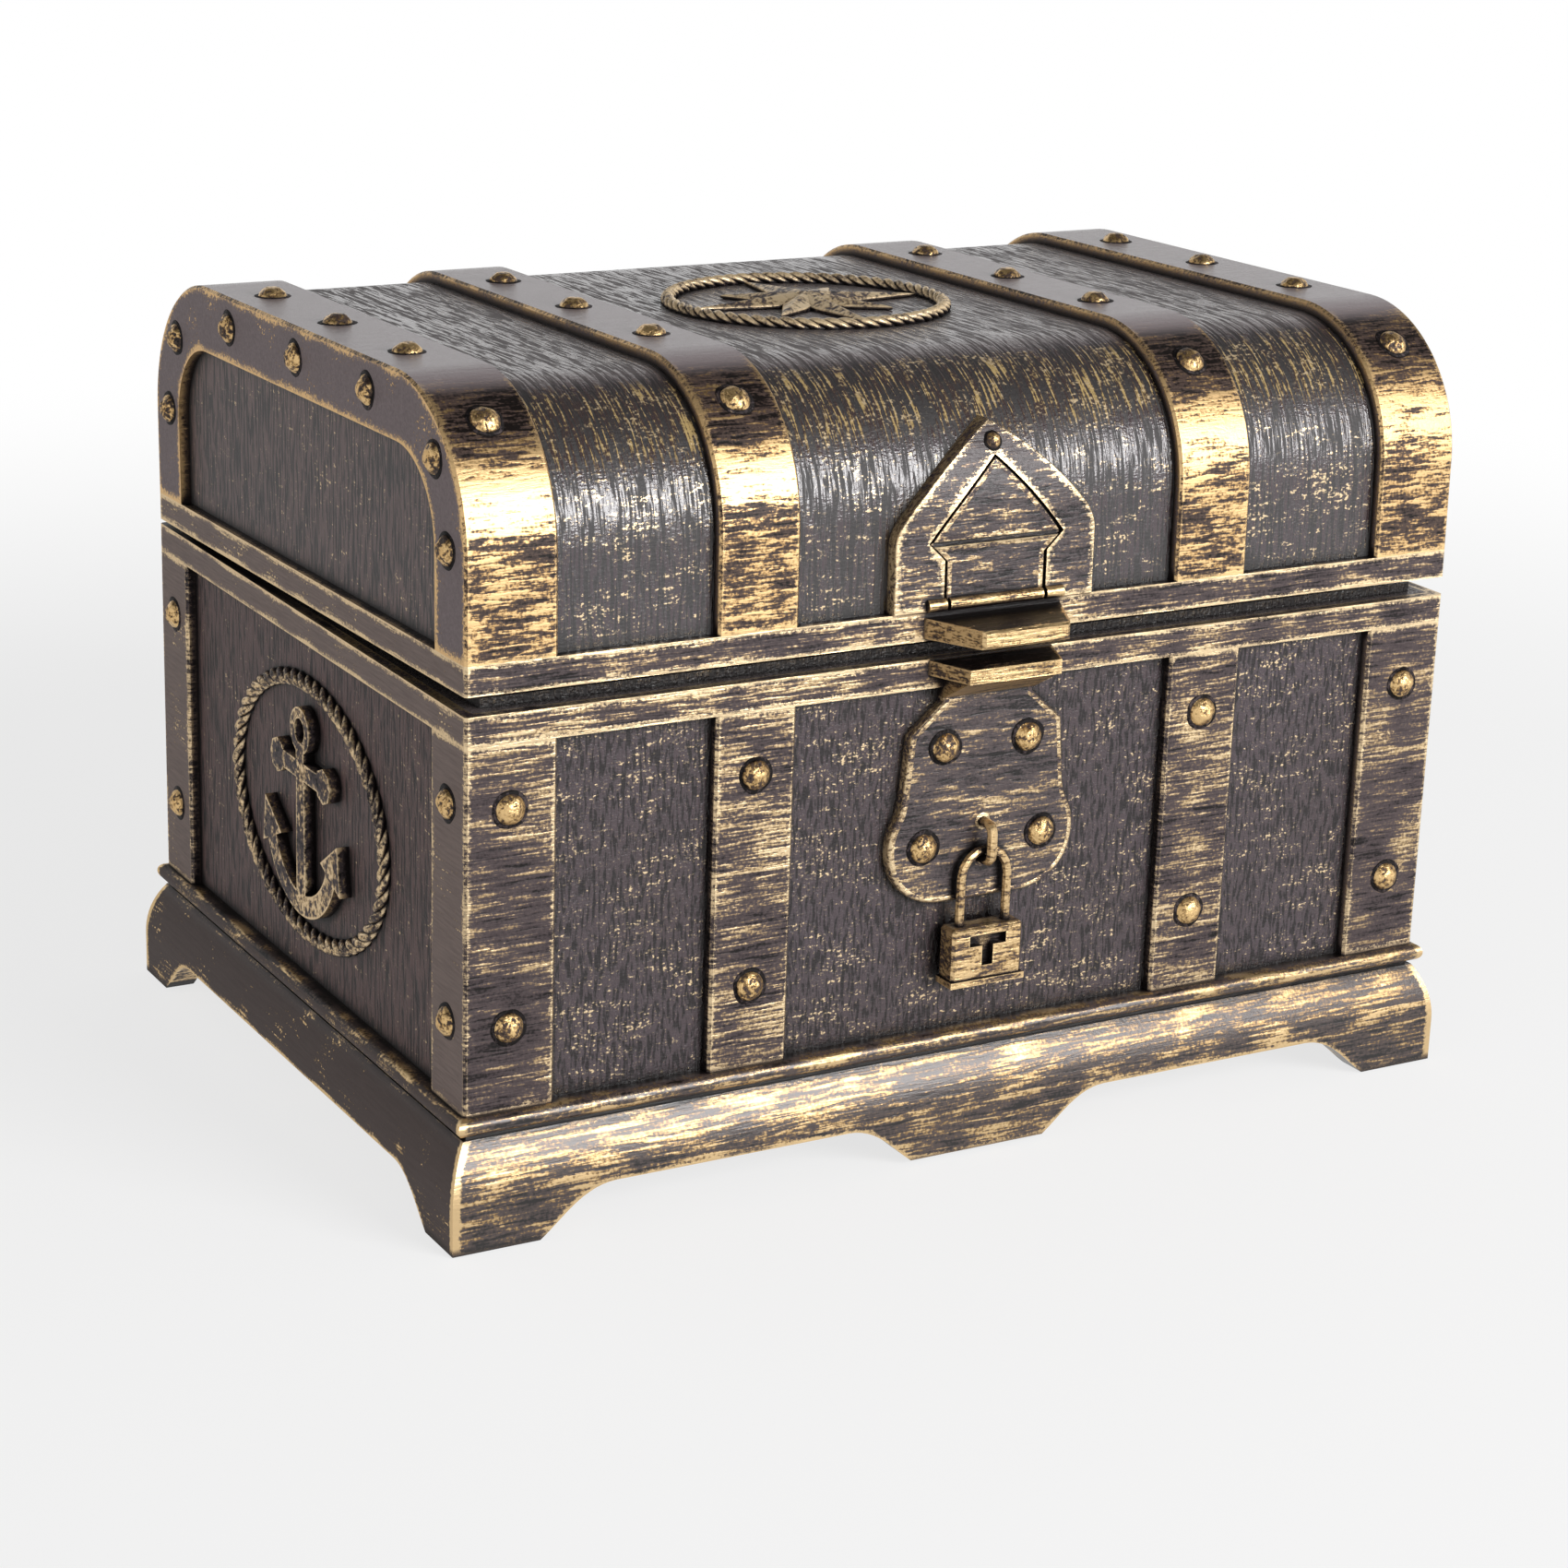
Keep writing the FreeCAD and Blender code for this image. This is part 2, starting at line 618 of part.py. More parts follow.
# Lock plate: half outline mirrored, a pear below a neck
def plate_outline():
    tall = body_rail_foot - PLATE_BOTTOM

    def p(width_share, level_share):
        return V(PLATE_HALF_WIDTH * width_share, -panel_y, PLATE_BOTTOM + tall * level_share)

    neck = p(plate_neck_share, plate_neck_level_share)
    shoulder = p(plate_shoulder_share, plate_shoulder_level_share)
    waist = p(plate_waist_share, plate_waist_level_share)
    belly = p(1, plate_belly_level_share)
    foot = p(plate_foot_share, 0)
    half_way = (waist.z + belly.z) / 2
    lead = waist + (waist - shoulder) * ((half_way - waist.z) / (waist.z - shoulder.z))
    flare = Part.BezierCurve()
    flare.setPoles([waist, lead, V(belly.x, -panel_y, half_way), belly])
    base = Part.BezierCurve()
    base.setPoles([belly, V(belly.x, -panel_y, PLATE_BOTTOM + tall * plate_belly_level_share / 3),
                   V((belly.x + foot.x) / 2, -panel_y, PLATE_BOTTOM), foot])
    right = [
        Part.makeLine(p(plate_neck_share, 1), neck),
        Part.makeLine(neck, shoulder),
        Part.makeLine(shoulder, waist),
        flare.toShape(),
        base.toShape(),
    ]
    left = [e.mirror(V(0, 0, 0), V(1, 0, 0)) for e in right]
    ends = [Part.makeLine(p(-plate_neck_share, 1), p(plate_neck_share, 1)),
            Part.makeLine(p(-plate_foot_share, 0), foot)]
    return Part.Face(Part.Wire(Part.__sortEdges__(right + left + ends)))


plate = plate_outline().extrude(V(0, -PLATE_THICKNESS, 0))
plate = chamfered(plate, EDGE_CHAMFER,
                  lambda e: abs(middle(e).y + plate_face_y) < EDGE_CHAMFER / 2
                  and abs(middle(e).z - body_rail_foot) > EDGE_CHAMFER)


def staple_solid():
    """A wire staple, its two legs let into the lock plate."""
    high = STAPLE_LOW + STAPLE_PITCH
    bed = -(plate_face_y - STAPLE_BED)
    out = -staple_y
    back = out + STAPLE_BEND
    top_turn = high - STAPLE_BEND
    low_turn = STAPLE_LOW + STAPLE_BEND
    across = V(1, 0, 0)
    rings = [wire_start(STAPLE_WIRE_RADIUS, V(0, bed, high), V(0, -1, 0), across)]
    run_on(rings, V(0, back - bed, 0))
    bend_on(rings, V(0, back, top_turn), across, 90)
    run_on(rings, V(0, 0, low_turn - top_turn))
    bend_on(rings, V(0, back, low_turn), across, 90)
    run_on(rings, V(0, bed - back, 0))
    return wire_solid(rings)


staple = staple_solid()
plate = plate.cut(staple)
keep("lock_plate", plate)
keep("lock_staple", staple)
plate_tall = body_rail_foot - PLATE_BOTTOM
plate_spots = [(side * PLATE_HALF_WIDTH * w, PLATE_BOTTOM + plate_tall * h)
               for w, h in plate_rivet_shares for side in (-1, 1)]
keep("lock_plate_rivets", Part.makeCompound(
    [placed(head, V(x, -plate_face_y, z), V(0, -1, 0)) for x, z in plate_spots]))


# Catch ledge on a sloping bracket below the clasp, and the clasp's own lip above it
def side_slab(side_points, half_width):
    """A slab across the front, its side outline given in depth and height."""
    side = face_of([V(-half_width, -y, z) for y, z in side_points])
    return side.extrude(V(2 * half_width, 0, 0))


def tapered(slab, root_half, front_half, reach):
    box = slab.BoundBox
    plan = face_of([V(-root_half, -strap_y, box.ZMin), V(root_half, -strap_y, box.ZMin),
                    V(front_half, -strap_y - reach, box.ZMin),
                    V(-front_half, -strap_y - reach, box.ZMin)])
    return slab.common(plan.extrude(V(0, 0, box.ZLength)))


ledge_top = RIM_LEVEL - LEDGE_DROP
ledge_low = ledge_top - LEDGE_HEIGHT
ledge_front = strap_y + LEDGE_REACH
ledge = side_slab([(strap_y, ledge_top), (ledge_front, ledge_top), (ledge_front, ledge_low),
                   (strap_y, ledge_low)], LEDGE_ROOT_HALF)
ledge = tapered(ledge, LEDGE_ROOT_HALF, LEDGE_FRONT_HALF, LEDGE_REACH)
bracket_low = ledge_low - LEDGE_BRACKET
bracket = side_slab([(strap_y, ledge_low), (ledge_front - EDGE_CHAMFER, ledge_low),
                     (plate_face_y, bracket_low), (panel_y, bracket_low), (panel_y, body_rail_foot),
                     (strap_y, body_rail_foot)], LEDGE_FRONT_HALF)
keep("catch_ledge", fused([ledge, bracket.cut(plate)]))

lip_low = lid_seat + LIP_LIFT
lip_front = strap_y + LIP_REACH
lip = side_slab([(strap_y, lip_low), (lip_front, lip_low), (lip_front, lip_low + LIP_FRONT_HEIGHT),
                 (strap_y, lip_low + LIP_ROOT_HEIGHT)], LIP_ROOT_HALF)
lip = tapered(lip, LIP_ROOT_HALF, LIP_FRONT_HALF, LIP_REACH)
lip = chamfered(lip, EDGE_CHAMFER, lambda e: abs(middle(e).y + lip_front) < EDGE_CHAMFER / 2)
keep_lid("hasp_lip", lip)


# Clasp plate: a pointed arch bent over the lid's front curve, with an inner panel in its recess
def mirrored_outline(right, foot_half):
    left = [e.mirror(V(0, 0, 0), V(1, 0, 0)) for e in right]
    base = Part.makeLine(V(-foot_half, 0, lid_rail_top), V(foot_half, 0, lid_rail_top))
    return Part.Face(Part.Wire(Part.__sortEdges__(right + left + [base])))


def hasp_outline():
    apex = V(0, 0, lid_seat + HASP_APEX_RISE)
    rise = apex.z - lid_rail_top

    def p(width_share, level_share):
        return V(HASP_HALF_WIDTH * width_share, 0, lid_rail_top + rise * level_share)

    shoulder = p(hasp_shoulder_share, hasp_shoulder_level_share)
    leg_top = p(1, hasp_leg_level_share)
    side = Part.Arc(apex, p(hasp_side_share, hasp_side_level_share), shoulder).toShape()
    turn = Part.BezierCurve()
    turn.setPoles([shoulder, V(leg_top.x, 0, (shoulder.z + leg_top.z) / 2), leg_top])
    leg = Part.makeLine(leg_top, p(1, 0))
    return mirrored_outline([side, turn.toShape(), leg], HASP_HALF_WIDTH)


def inner_outline(grow):
    apex = V(0, 0, lid_seat + INNER_APEX_RISE + grow)
    foot = lid_rail_top
    rise = apex.z - foot
    hip = V(INNER_HALF_WIDTH + grow, 0, foot + rise * inner_hip_level_share)
    chin = V(INNER_STEM_HALF + grow, 0, foot + rise * inner_step_level_share)
    side = Part.Arc(apex, V(hip.x * inner_side_share, 0, foot + rise * inner_side_level_share),
                    hip).toShape()
    right = [side, Part.makeLine(hip, chin), Part.makeLine(chin, V(chin.x, 0, foot))]
    return mirrored_outline(right, chin.x)


def bent_plate(outline, low, high):
    """The outline seen from the front, as a plate lying on the lid between two heights."""
    prism = outline.extrude(V(0, -half_depth, 0))
    outer = arch(STRAP_THICKNESS - high, -panel_x, panel_x, lid_seat)
    inner = arch(STRAP_THICKNESS - low, -panel_x, panel_x, lid_seat)
    return prism.common(outer).cut(inner)


hasp = bent_plate(hasp_outline(), 0, HASP_THICKNESS)
recess = bent_plate(inner_outline(HASP_GROOVE), HASP_THICKNESS - HASP_RECESS,
                    HASP_THICKNESS + HASP_RECESS)
keep_lid("hasp_arch_plate", hasp.cut(recess))
inner_panel = bent_plate(inner_outline(0), HASP_THICKNESS - HASP_RECESS, HASP_THICKNESS)
line_z = lid_rail_top + (lid_seat + INNER_APEX_RISE - lid_rail_top) * inner_hip_level_share
line_bar = block(-INNER_HALF_WIDTH, INNER_HALF_WIDTH, -half_depth, 0, line_z - HASP_LINE_WIDTH / 2,
                 line_z + HASP_LINE_WIDTH / 2)
line_floor = arch(STRAP_THICKNESS - HASP_THICKNESS + HASP_LINE_DEPTH, -panel_x, panel_x, lid_seat)
keep_lid("hasp_inner_panel", inner_panel.cut(line_bar.cut(line_floor)))
stud_z = lid_seat + HASP_APEX_RISE - HASP_RIVET_DROP
stud_turn = math.asin((stud_z - lid_top + LID_CORNER_RADIUS) / LID_CORNER_RADIUS)
stud_radius = LID_CORNER_RADIUS - STRAP_THICKNESS + HASP_THICKNESS
stud_at = V(0, -(strap_y - LID_CORNER_RADIUS) - stud_radius * math.cos(stud_turn),
            lid_top - LID_CORNER_RADIUS + stud_radius * math.sin(stud_turn))
stud = placed(rivet(HASP_RIVET_RADIUS, HASP_RIVET_RISE, RIVET_SKIRT), stud_at,
              V(0, -math.cos(stud_turn), math.sin(stud_turn)))
keep_lid("hasp_rivet", stud.cut(hasp))


# Knuckle beads where the clasp plate meets its lip
def knuckle_bead(x0, x1):
    at = V(x0, -(panel_y + HASP_THICKNESS), lid_rail_top + KNUCKLE_BEAD_RADIUS)
    bead = Part.makeCylinder(KNUCKLE_BEAD_RADIUS, x1 - x0, at, V(1, 0, 0))
    return bead.cut(hasp)


slit = KNUCKLE_BEAD_SLIT / 2
keep_lid("hasp_knuckles", Part.makeCompound([
    knuckle_bead(-KNUCKLE_BEAD_HALF, -INNER_STEM_HALF - slit),
    knuckle_bead(-INNER_STEM_HALF + slit, INNER_STEM_HALF - slit),
    knuckle_bead(INNER_STEM_HALF + slit, KNUCKLE_BEAD_HALF),
]))


# Padlock: case with a slot keyhole, and a wire shackle let into it
shackle_centre = shackle_top - SHACKLE_HALF_WIDTH


def shackle_solid():
    leg = V(0, 0, shackle_centre - CASE_TOP + SHACKLE_BED)
    foot = V(-SHACKLE_HALF_WIDTH, -shackle_y, CASE_TOP - SHACKLE_BED)
    deep = V(0, 1, 0)
    rings = [wire_start(SHACKLE_WIRE_RADIUS, foot, V(0, 0, 1), deep)]
    run_on(rings, leg)
    bend_on(rings, V(0, -shackle_y, shackle_centre), deep, 180)
    run_on(rings, -leg)
    return wire_solid(rings)


shackle = shackle_solid()
case_half = CASE_WIDTH / 2
case_back = -shackle_y + CASE_THICKNESS / 2
case_front = -shackle_y - CASE_THICKNESS / 2
case_low = CASE_TOP - CASE_HEIGHT
case = block(-case_half, case_half, case_front, case_back, case_low + CASE_LEDGE_HEIGHT, CASE_TOP)
case = chamfered(case, CASE_CHAMFER,
                 lambda e: abs(middle(e).z - case_low - CASE_LEDGE_HEIGHT) > CASE_CHAMFER)
foot_plate = block(-case_half - CASE_LEDGE_OUT, case_half + CASE_LEDGE_OUT,
                   case_front - CASE_LEDGE_OUT, case_back, case_low, case_low + CASE_LEDGE_HEIGHT)
case = case.fuse(foot_plate)
bar_top = CASE_TOP - KEYHOLE_DROP
bar_low = bar_top - KEYHOLE_BAR_HEIGHT
slot_back = case_front + KEYHOLE_DEPTH
slot_front = case_front - KEYHOLE_DEPTH
slot = block(-KEYHOLE_BAR_WIDTH / 2, KEYHOLE_BAR_WIDTH / 2, slot_front, slot_back, bar_low, bar_top)
slot = slot.fuse(block(-KEYHOLE_STEM_WIDTH / 2, KEYHOLE_STEM_WIDTH / 2, slot_front, slot_back,
                       bar_low - KEYHOLE_STEM_HEIGHT, bar_top))
keep("padlock_case", case.cut(slot).cut(shackle).removeSplitter())
keep("padlock_shackle", shackle)


# Relief on the ends: a ship's anchor in an oval of rope, drawn flat and stood on the end panels
def raised(face, thickness):
    return face.extrude(V(-thickness, 0, 0))


def flat_shape(points):
    return face_of([V(0, y, z) for y, z in points])


def round_shape(y, z, half_length, half_height, sides):
    """A flat outline of many sides, its corners on an oval."""
    return flat_shape([(y + half_length * math.cos(a), z + half_height * math.sin(a))
                       for a in around(sides)])


def arc_band(y, z, radius, width, start, end):
    """A flat band along an arc, its angles measured from +Y towards +Z."""
    def p(r, degrees):
        a = math.radians(degrees)
        return V(0, y + r * math.cos(a), z + r * math.sin(a))

    outer = radius + width / 2
    inner = radius - width / 2
    half_way = (start + end) / 2
    edges = [
        Part.Arc(p(outer, start), p(outer, half_way), p(outer, end)).toShape(),
        Part.makeLine(p(outer, end), p(inner, end)),
        Part.Arc(p(inner, end), p(inner, half_way), p(inner, start)).toShape(),
        Part.makeLine(p(inner, start), p(outer, start)),
    ]
    return Part.Face(Part.Wire(edges))


def anchor():
    tall = ANCHOR_HEIGHT
    bar = ANCHOR_BAR
    ring = tall * anchor_ring_share
    ring_z = tall / 2 - ring - bar / 4
    arm = tall * anchor_arm_share
    arm_z = -tall / 2 + arm + bar / 2
    stock = tall * anchor_stock_share
    stock_z = tall * anchor_stock_level_share
    neck = bar * anchor_neck_share
    eye_out = ring + bar / 4
    eye_in = ring - bar / 4
    faces = [
        flat_shape([(-bar / 2, arm_z - arm), (bar / 2, arm_z - arm), (neck / 2, ring_z - ring),
                    (-neck / 2, ring_z - ring)]),
        flat_shape([(-stock, stock_z - neck / 2), (stock, stock_z - neck / 2),
                    (stock, stock_z + neck / 2), (-stock, stock_z + neck / 2)]),
        round_shape(-stock, stock_z, neck, neck, anchor_knob_sides),
        round_shape(stock, stock_z, neck, neck, anchor_knob_sides),
        round_shape(0, ring_z, eye_out, eye_out, anchor_eye_sides).cut(
            round_shape(0, ring_z, eye_in, eye_in, anchor_eye_sides)),
        arc_band(0, arm_z, arm, bar, 270 - ANCHOR_SWEEP_DEG, 270 + ANCHOR_SWEEP_DEG),
    ]
    fluke = tall * anchor_fluke_share
    sweep = math.radians(ANCHOR_SWEEP_DEG)
    for side in (-1, 1):
        end = (side * arm * math.sin(sweep), arm_z - arm * math.cos(sweep))
        along = (side * math.cos(sweep), math.sin(sweep))
        across = (side * math.sin(sweep), -math.cos(sweep))
        wing = fluke * anchor_wing_share
        faces.append(flat_shape([
            (end[0] + fluke * along[0], end[1] + fluke * along[1]),
            (end[0] + wing * across[0], end[1] + wing * across[1]),
            (end[0] - wing * across[0], end[1] - wing * across[1]),
        ]))
    return [raised(f, RELIEF_THICKNESS) for f in faces]


def rope_oval():
    """An oval ring of rope round the anchor."""
    outer = round_shape(0, 0, OVAL_HALF_LENGTH, OVAL_HALF_HEIGHT, oval_sides)
    inner = round_shape(0, 0, OVAL_HALF_LENGTH - ROPE_WIDTH, OVAL_HALF_HEIGHT - ROPE_WIDTH, oval_sides)
    return raised(outer.cut(inner).Faces[0], ROPE_THICKNESS)


end_at = V(-panel_x, 0, EMBLEM_LEVEL)
for name, relief in (("end_anchor", fused(anchor())), ("end_rope", rope_oval())):
    relief.translate(end_at)
    keep(name + "_left", relief)
    keep(name + "_right", mirrored_x(relief))


# Relief on the lid: a compass star inside a ring
def compass_star():
    rim = []
    tips = (compass_long_share, compass_notch_share, compass_short_share, compass_notch_share)
    count = 4 * len(tips)
    for k in range(count):
        a = 2 * math.pi * k / count
        reach = COMPASS_RADIUS * tips[k % len(tips)]
        rim.append(V(reach * math.cos(a), reach * math.sin(a), 0))
    edge = [p + V(0, 0, COMPASS_EDGE) for p in rim]
    peak = V(0, 0, COMPASS_RISE)
    faces = [face_of(rim)]
    for k in range(count):
        n = (k + 1) % count
        faces.append(face_of([rim[k], rim[n], edge[n], edge[k]]))
        faces.append(face_of([edge[k], edge[n], peak]))
    return outward(faces)


compass_at = V(0, -COMPASS_SET_FORWARD, lid_panel_top)
star = compass_star()
star.translate(compass_at)
keep_lid("lid_compass_star", star)


def compass_disc(radius):
    rim = [compass_at + V(radius * math.cos(a), radius * math.sin(a), 0) for a in around(compass_sides)]
    return face_of(rim).extrude(V(0, 0, COMPASS_RING_HEIGHT))


compass_ring = chamfered(compass_disc(COMPASS_RADIUS), EDGE_CHAMFER,
                         lambda e: abs(middle(e).z - lid_panel_top - COMPASS_RING_HEIGHT) < EDGE_CHAMFER)
compass_ring = compass_ring.cut(compass_disc(COMPASS_RADIUS - COMPASS_RING_WIDTH))
keep_lid("lid_compass_ring", compass_ring)


# Hinges on the back: leaves with rolled knuckles, a pin each, and a tail that stops the lid
def barrel(x0, x1, radius):
    return Part.makeCylinder(radius, x1 - x0, V(x0, hinge_y, hinge_z), V(1, 0, 0))


def knuckle(x0, x1, radius):
    """A barrel drawn with flats, for the outside of knuckles and pin heads."""
    rim = [V(x0, hinge_y + radius * math.cos(a), hinge_z + radius * math.sin(a))
           for a in around(knuckle_sides)]
    return face_of(rim).extrude(V(x1 - x0, 0, 0))


leaf_half = LEAF_WIDTH / 2
middle_half = HINGE_MIDDLE_LENGTH / 2
outer_start = middle_half + HINGE_KNUCKLE_GAP
leaf_back = strap_y + LEAF_THICKNESS
notch = HINGE_KNUCKLE_RADIUS + HINGE_KNUCKLE_GAP
leaf_low = RIM_LEVEL - LEAF_LIFT - LEAF_HEIGHT
leaf_high = lid_seat + LEAF_LIFT + LEAF_HEIGHT


def body_leaf():
    leaf = block(-leaf_half, leaf_half, strap_y, leaf_back, leaf_low, hinge_z)
    leaf = leaf.cut(block(-outer_start, outer_start, strap_y, leaf_back, hinge_z - notch, hinge_z))
    leaf = fused([leaf, knuckle(-leaf_half, -outer_start, HINGE_KNUCKLE_RADIUS),
                  knuckle(outer_start, leaf_half, HINGE_KNUCKLE_RADIUS)])
    return leaf.cut(barrel(-leaf_half, leaf_half, PIN_RADIUS))


def lid_leaf():
    leaf = block(-leaf_half, leaf_half, strap_y, leaf_back, hinge_z, leaf_high)
    for x0, x1 in ((-leaf_half, -middle_half), (middle_half, leaf_half)):
        leaf = leaf.cut(block(x0, x1, strap_y, leaf_back, hinge_z, hinge_z + notch))
    stop_face = leaf_back + STOP_CLEARANCE
    tail = block(-middle_half, middle_half, stop_face, stop_face + STOP_WIDTH,
                 hinge_z - STOP_REACH, hinge_z)
    leaf = fused([leaf, knuckle(-middle_half, middle_half, HINGE_KNUCKLE_RADIUS),
                  turned(tail, -LID_OPEN_DEG)])
    return leaf.cut(barrel(-leaf_half, leaf_half, PIN_RADIUS + PIN_RUNNING_CLEARANCE))


def hinge_pin():
    return fused([barrel(-leaf_half, leaf_half, PIN_RADIUS),
                  knuckle(-leaf_half - PIN_HEAD_HEIGHT, -leaf_half, PIN_HEAD_RADIUS),
                  knuckle(leaf_half, leaf_half + PIN_HEAD_HEIGHT, PIN_HEAD_RADIUS)])


small_head = rivet(LEAF_RIVET_RADIUS, LEAF_RIVET_RISE)
leaf_rivet_x = LEAF_WIDTH * leaf_rivet_share
body_leaf_rivets = []
lid_leaf_rivets = []
for side, word in ((-1, "left"), (1, "right")):
    at = V(side * HINGE_OFFSET, 0, 0)
    low_leaf = body_leaf()
    low_leaf.translate(at)
    keep("hinge_leaf_body_" + word, low_leaf)
    high_leaf = lid_leaf()
    high_leaf.translate(at)
    keep_lid("hinge_leaf_lid_" + word, high_leaf)
    pin = hinge_pin()
    pin.translate(at)
    keep("hinge_pin_" + word, pin)
    for x in (at.x - leaf_rivet_x, at.x + leaf_rivet_x):
        body_leaf_rivets.append(placed(small_head, V(x, leaf_back, leaf_low + LEAF_RIVET_INSET),
                                       V(0, 1, 0)))
        lid_leaf_rivets.append(placed(small_head, V(x, leaf_back, leaf_high - LEAF_RIVET_INSET),
                                      V(0, 1, 0)))
keep("hinge_rivets_body", Part.makeCompound(body_leaf_rivets))
keep_lid("hinge_rivets_lid", Part.makeCompound(lid_leaf_rivets))

# Save every piece, moved into the shared frame
os.makedirs("parts", exist_ok=True)
for name, shape in pieces.items():
    moved = shape.copy()
    moved.translate(frame_shift)
    moved.exportStep("parts/" + name + ".step")
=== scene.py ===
"""Looks of the small domed treasure chest: dark panels, dry-brushed gold straps and fittings."""
import json
import math

import bmesh
import bpy
import numpy as np
from mathutils import Matrix, Vector, noise

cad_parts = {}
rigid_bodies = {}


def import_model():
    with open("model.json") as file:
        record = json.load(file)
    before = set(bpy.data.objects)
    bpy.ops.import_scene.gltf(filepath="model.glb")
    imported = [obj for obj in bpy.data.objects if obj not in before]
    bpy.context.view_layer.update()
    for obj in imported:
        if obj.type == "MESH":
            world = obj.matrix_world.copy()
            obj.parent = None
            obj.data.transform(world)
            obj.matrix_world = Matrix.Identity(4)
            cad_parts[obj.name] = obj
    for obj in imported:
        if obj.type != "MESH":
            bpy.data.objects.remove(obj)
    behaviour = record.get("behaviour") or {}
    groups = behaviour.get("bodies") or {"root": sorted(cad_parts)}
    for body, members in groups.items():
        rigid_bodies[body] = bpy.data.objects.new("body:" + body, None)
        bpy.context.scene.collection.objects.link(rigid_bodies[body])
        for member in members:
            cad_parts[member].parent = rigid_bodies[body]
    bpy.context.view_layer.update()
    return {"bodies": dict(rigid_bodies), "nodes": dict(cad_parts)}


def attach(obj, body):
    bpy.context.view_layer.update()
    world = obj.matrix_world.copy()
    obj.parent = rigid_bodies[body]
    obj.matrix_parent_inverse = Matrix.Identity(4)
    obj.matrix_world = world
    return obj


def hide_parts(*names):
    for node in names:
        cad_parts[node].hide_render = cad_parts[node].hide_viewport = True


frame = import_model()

MM = 0.001
nodes = frame["nodes"]
shell_depths = [corner[1] for corner in nodes["body_shell"].bound_box]
# The middle of the box from front to back, in millimetres to the third digit
MIDDLE_Y = round((min(shell_depths) + max(shell_depths)) / 2 / MM, 3)

# Node-tree writing
NOISE_SPREAD = (0.32, 0.68)
SHADE_SAMPLES = 8


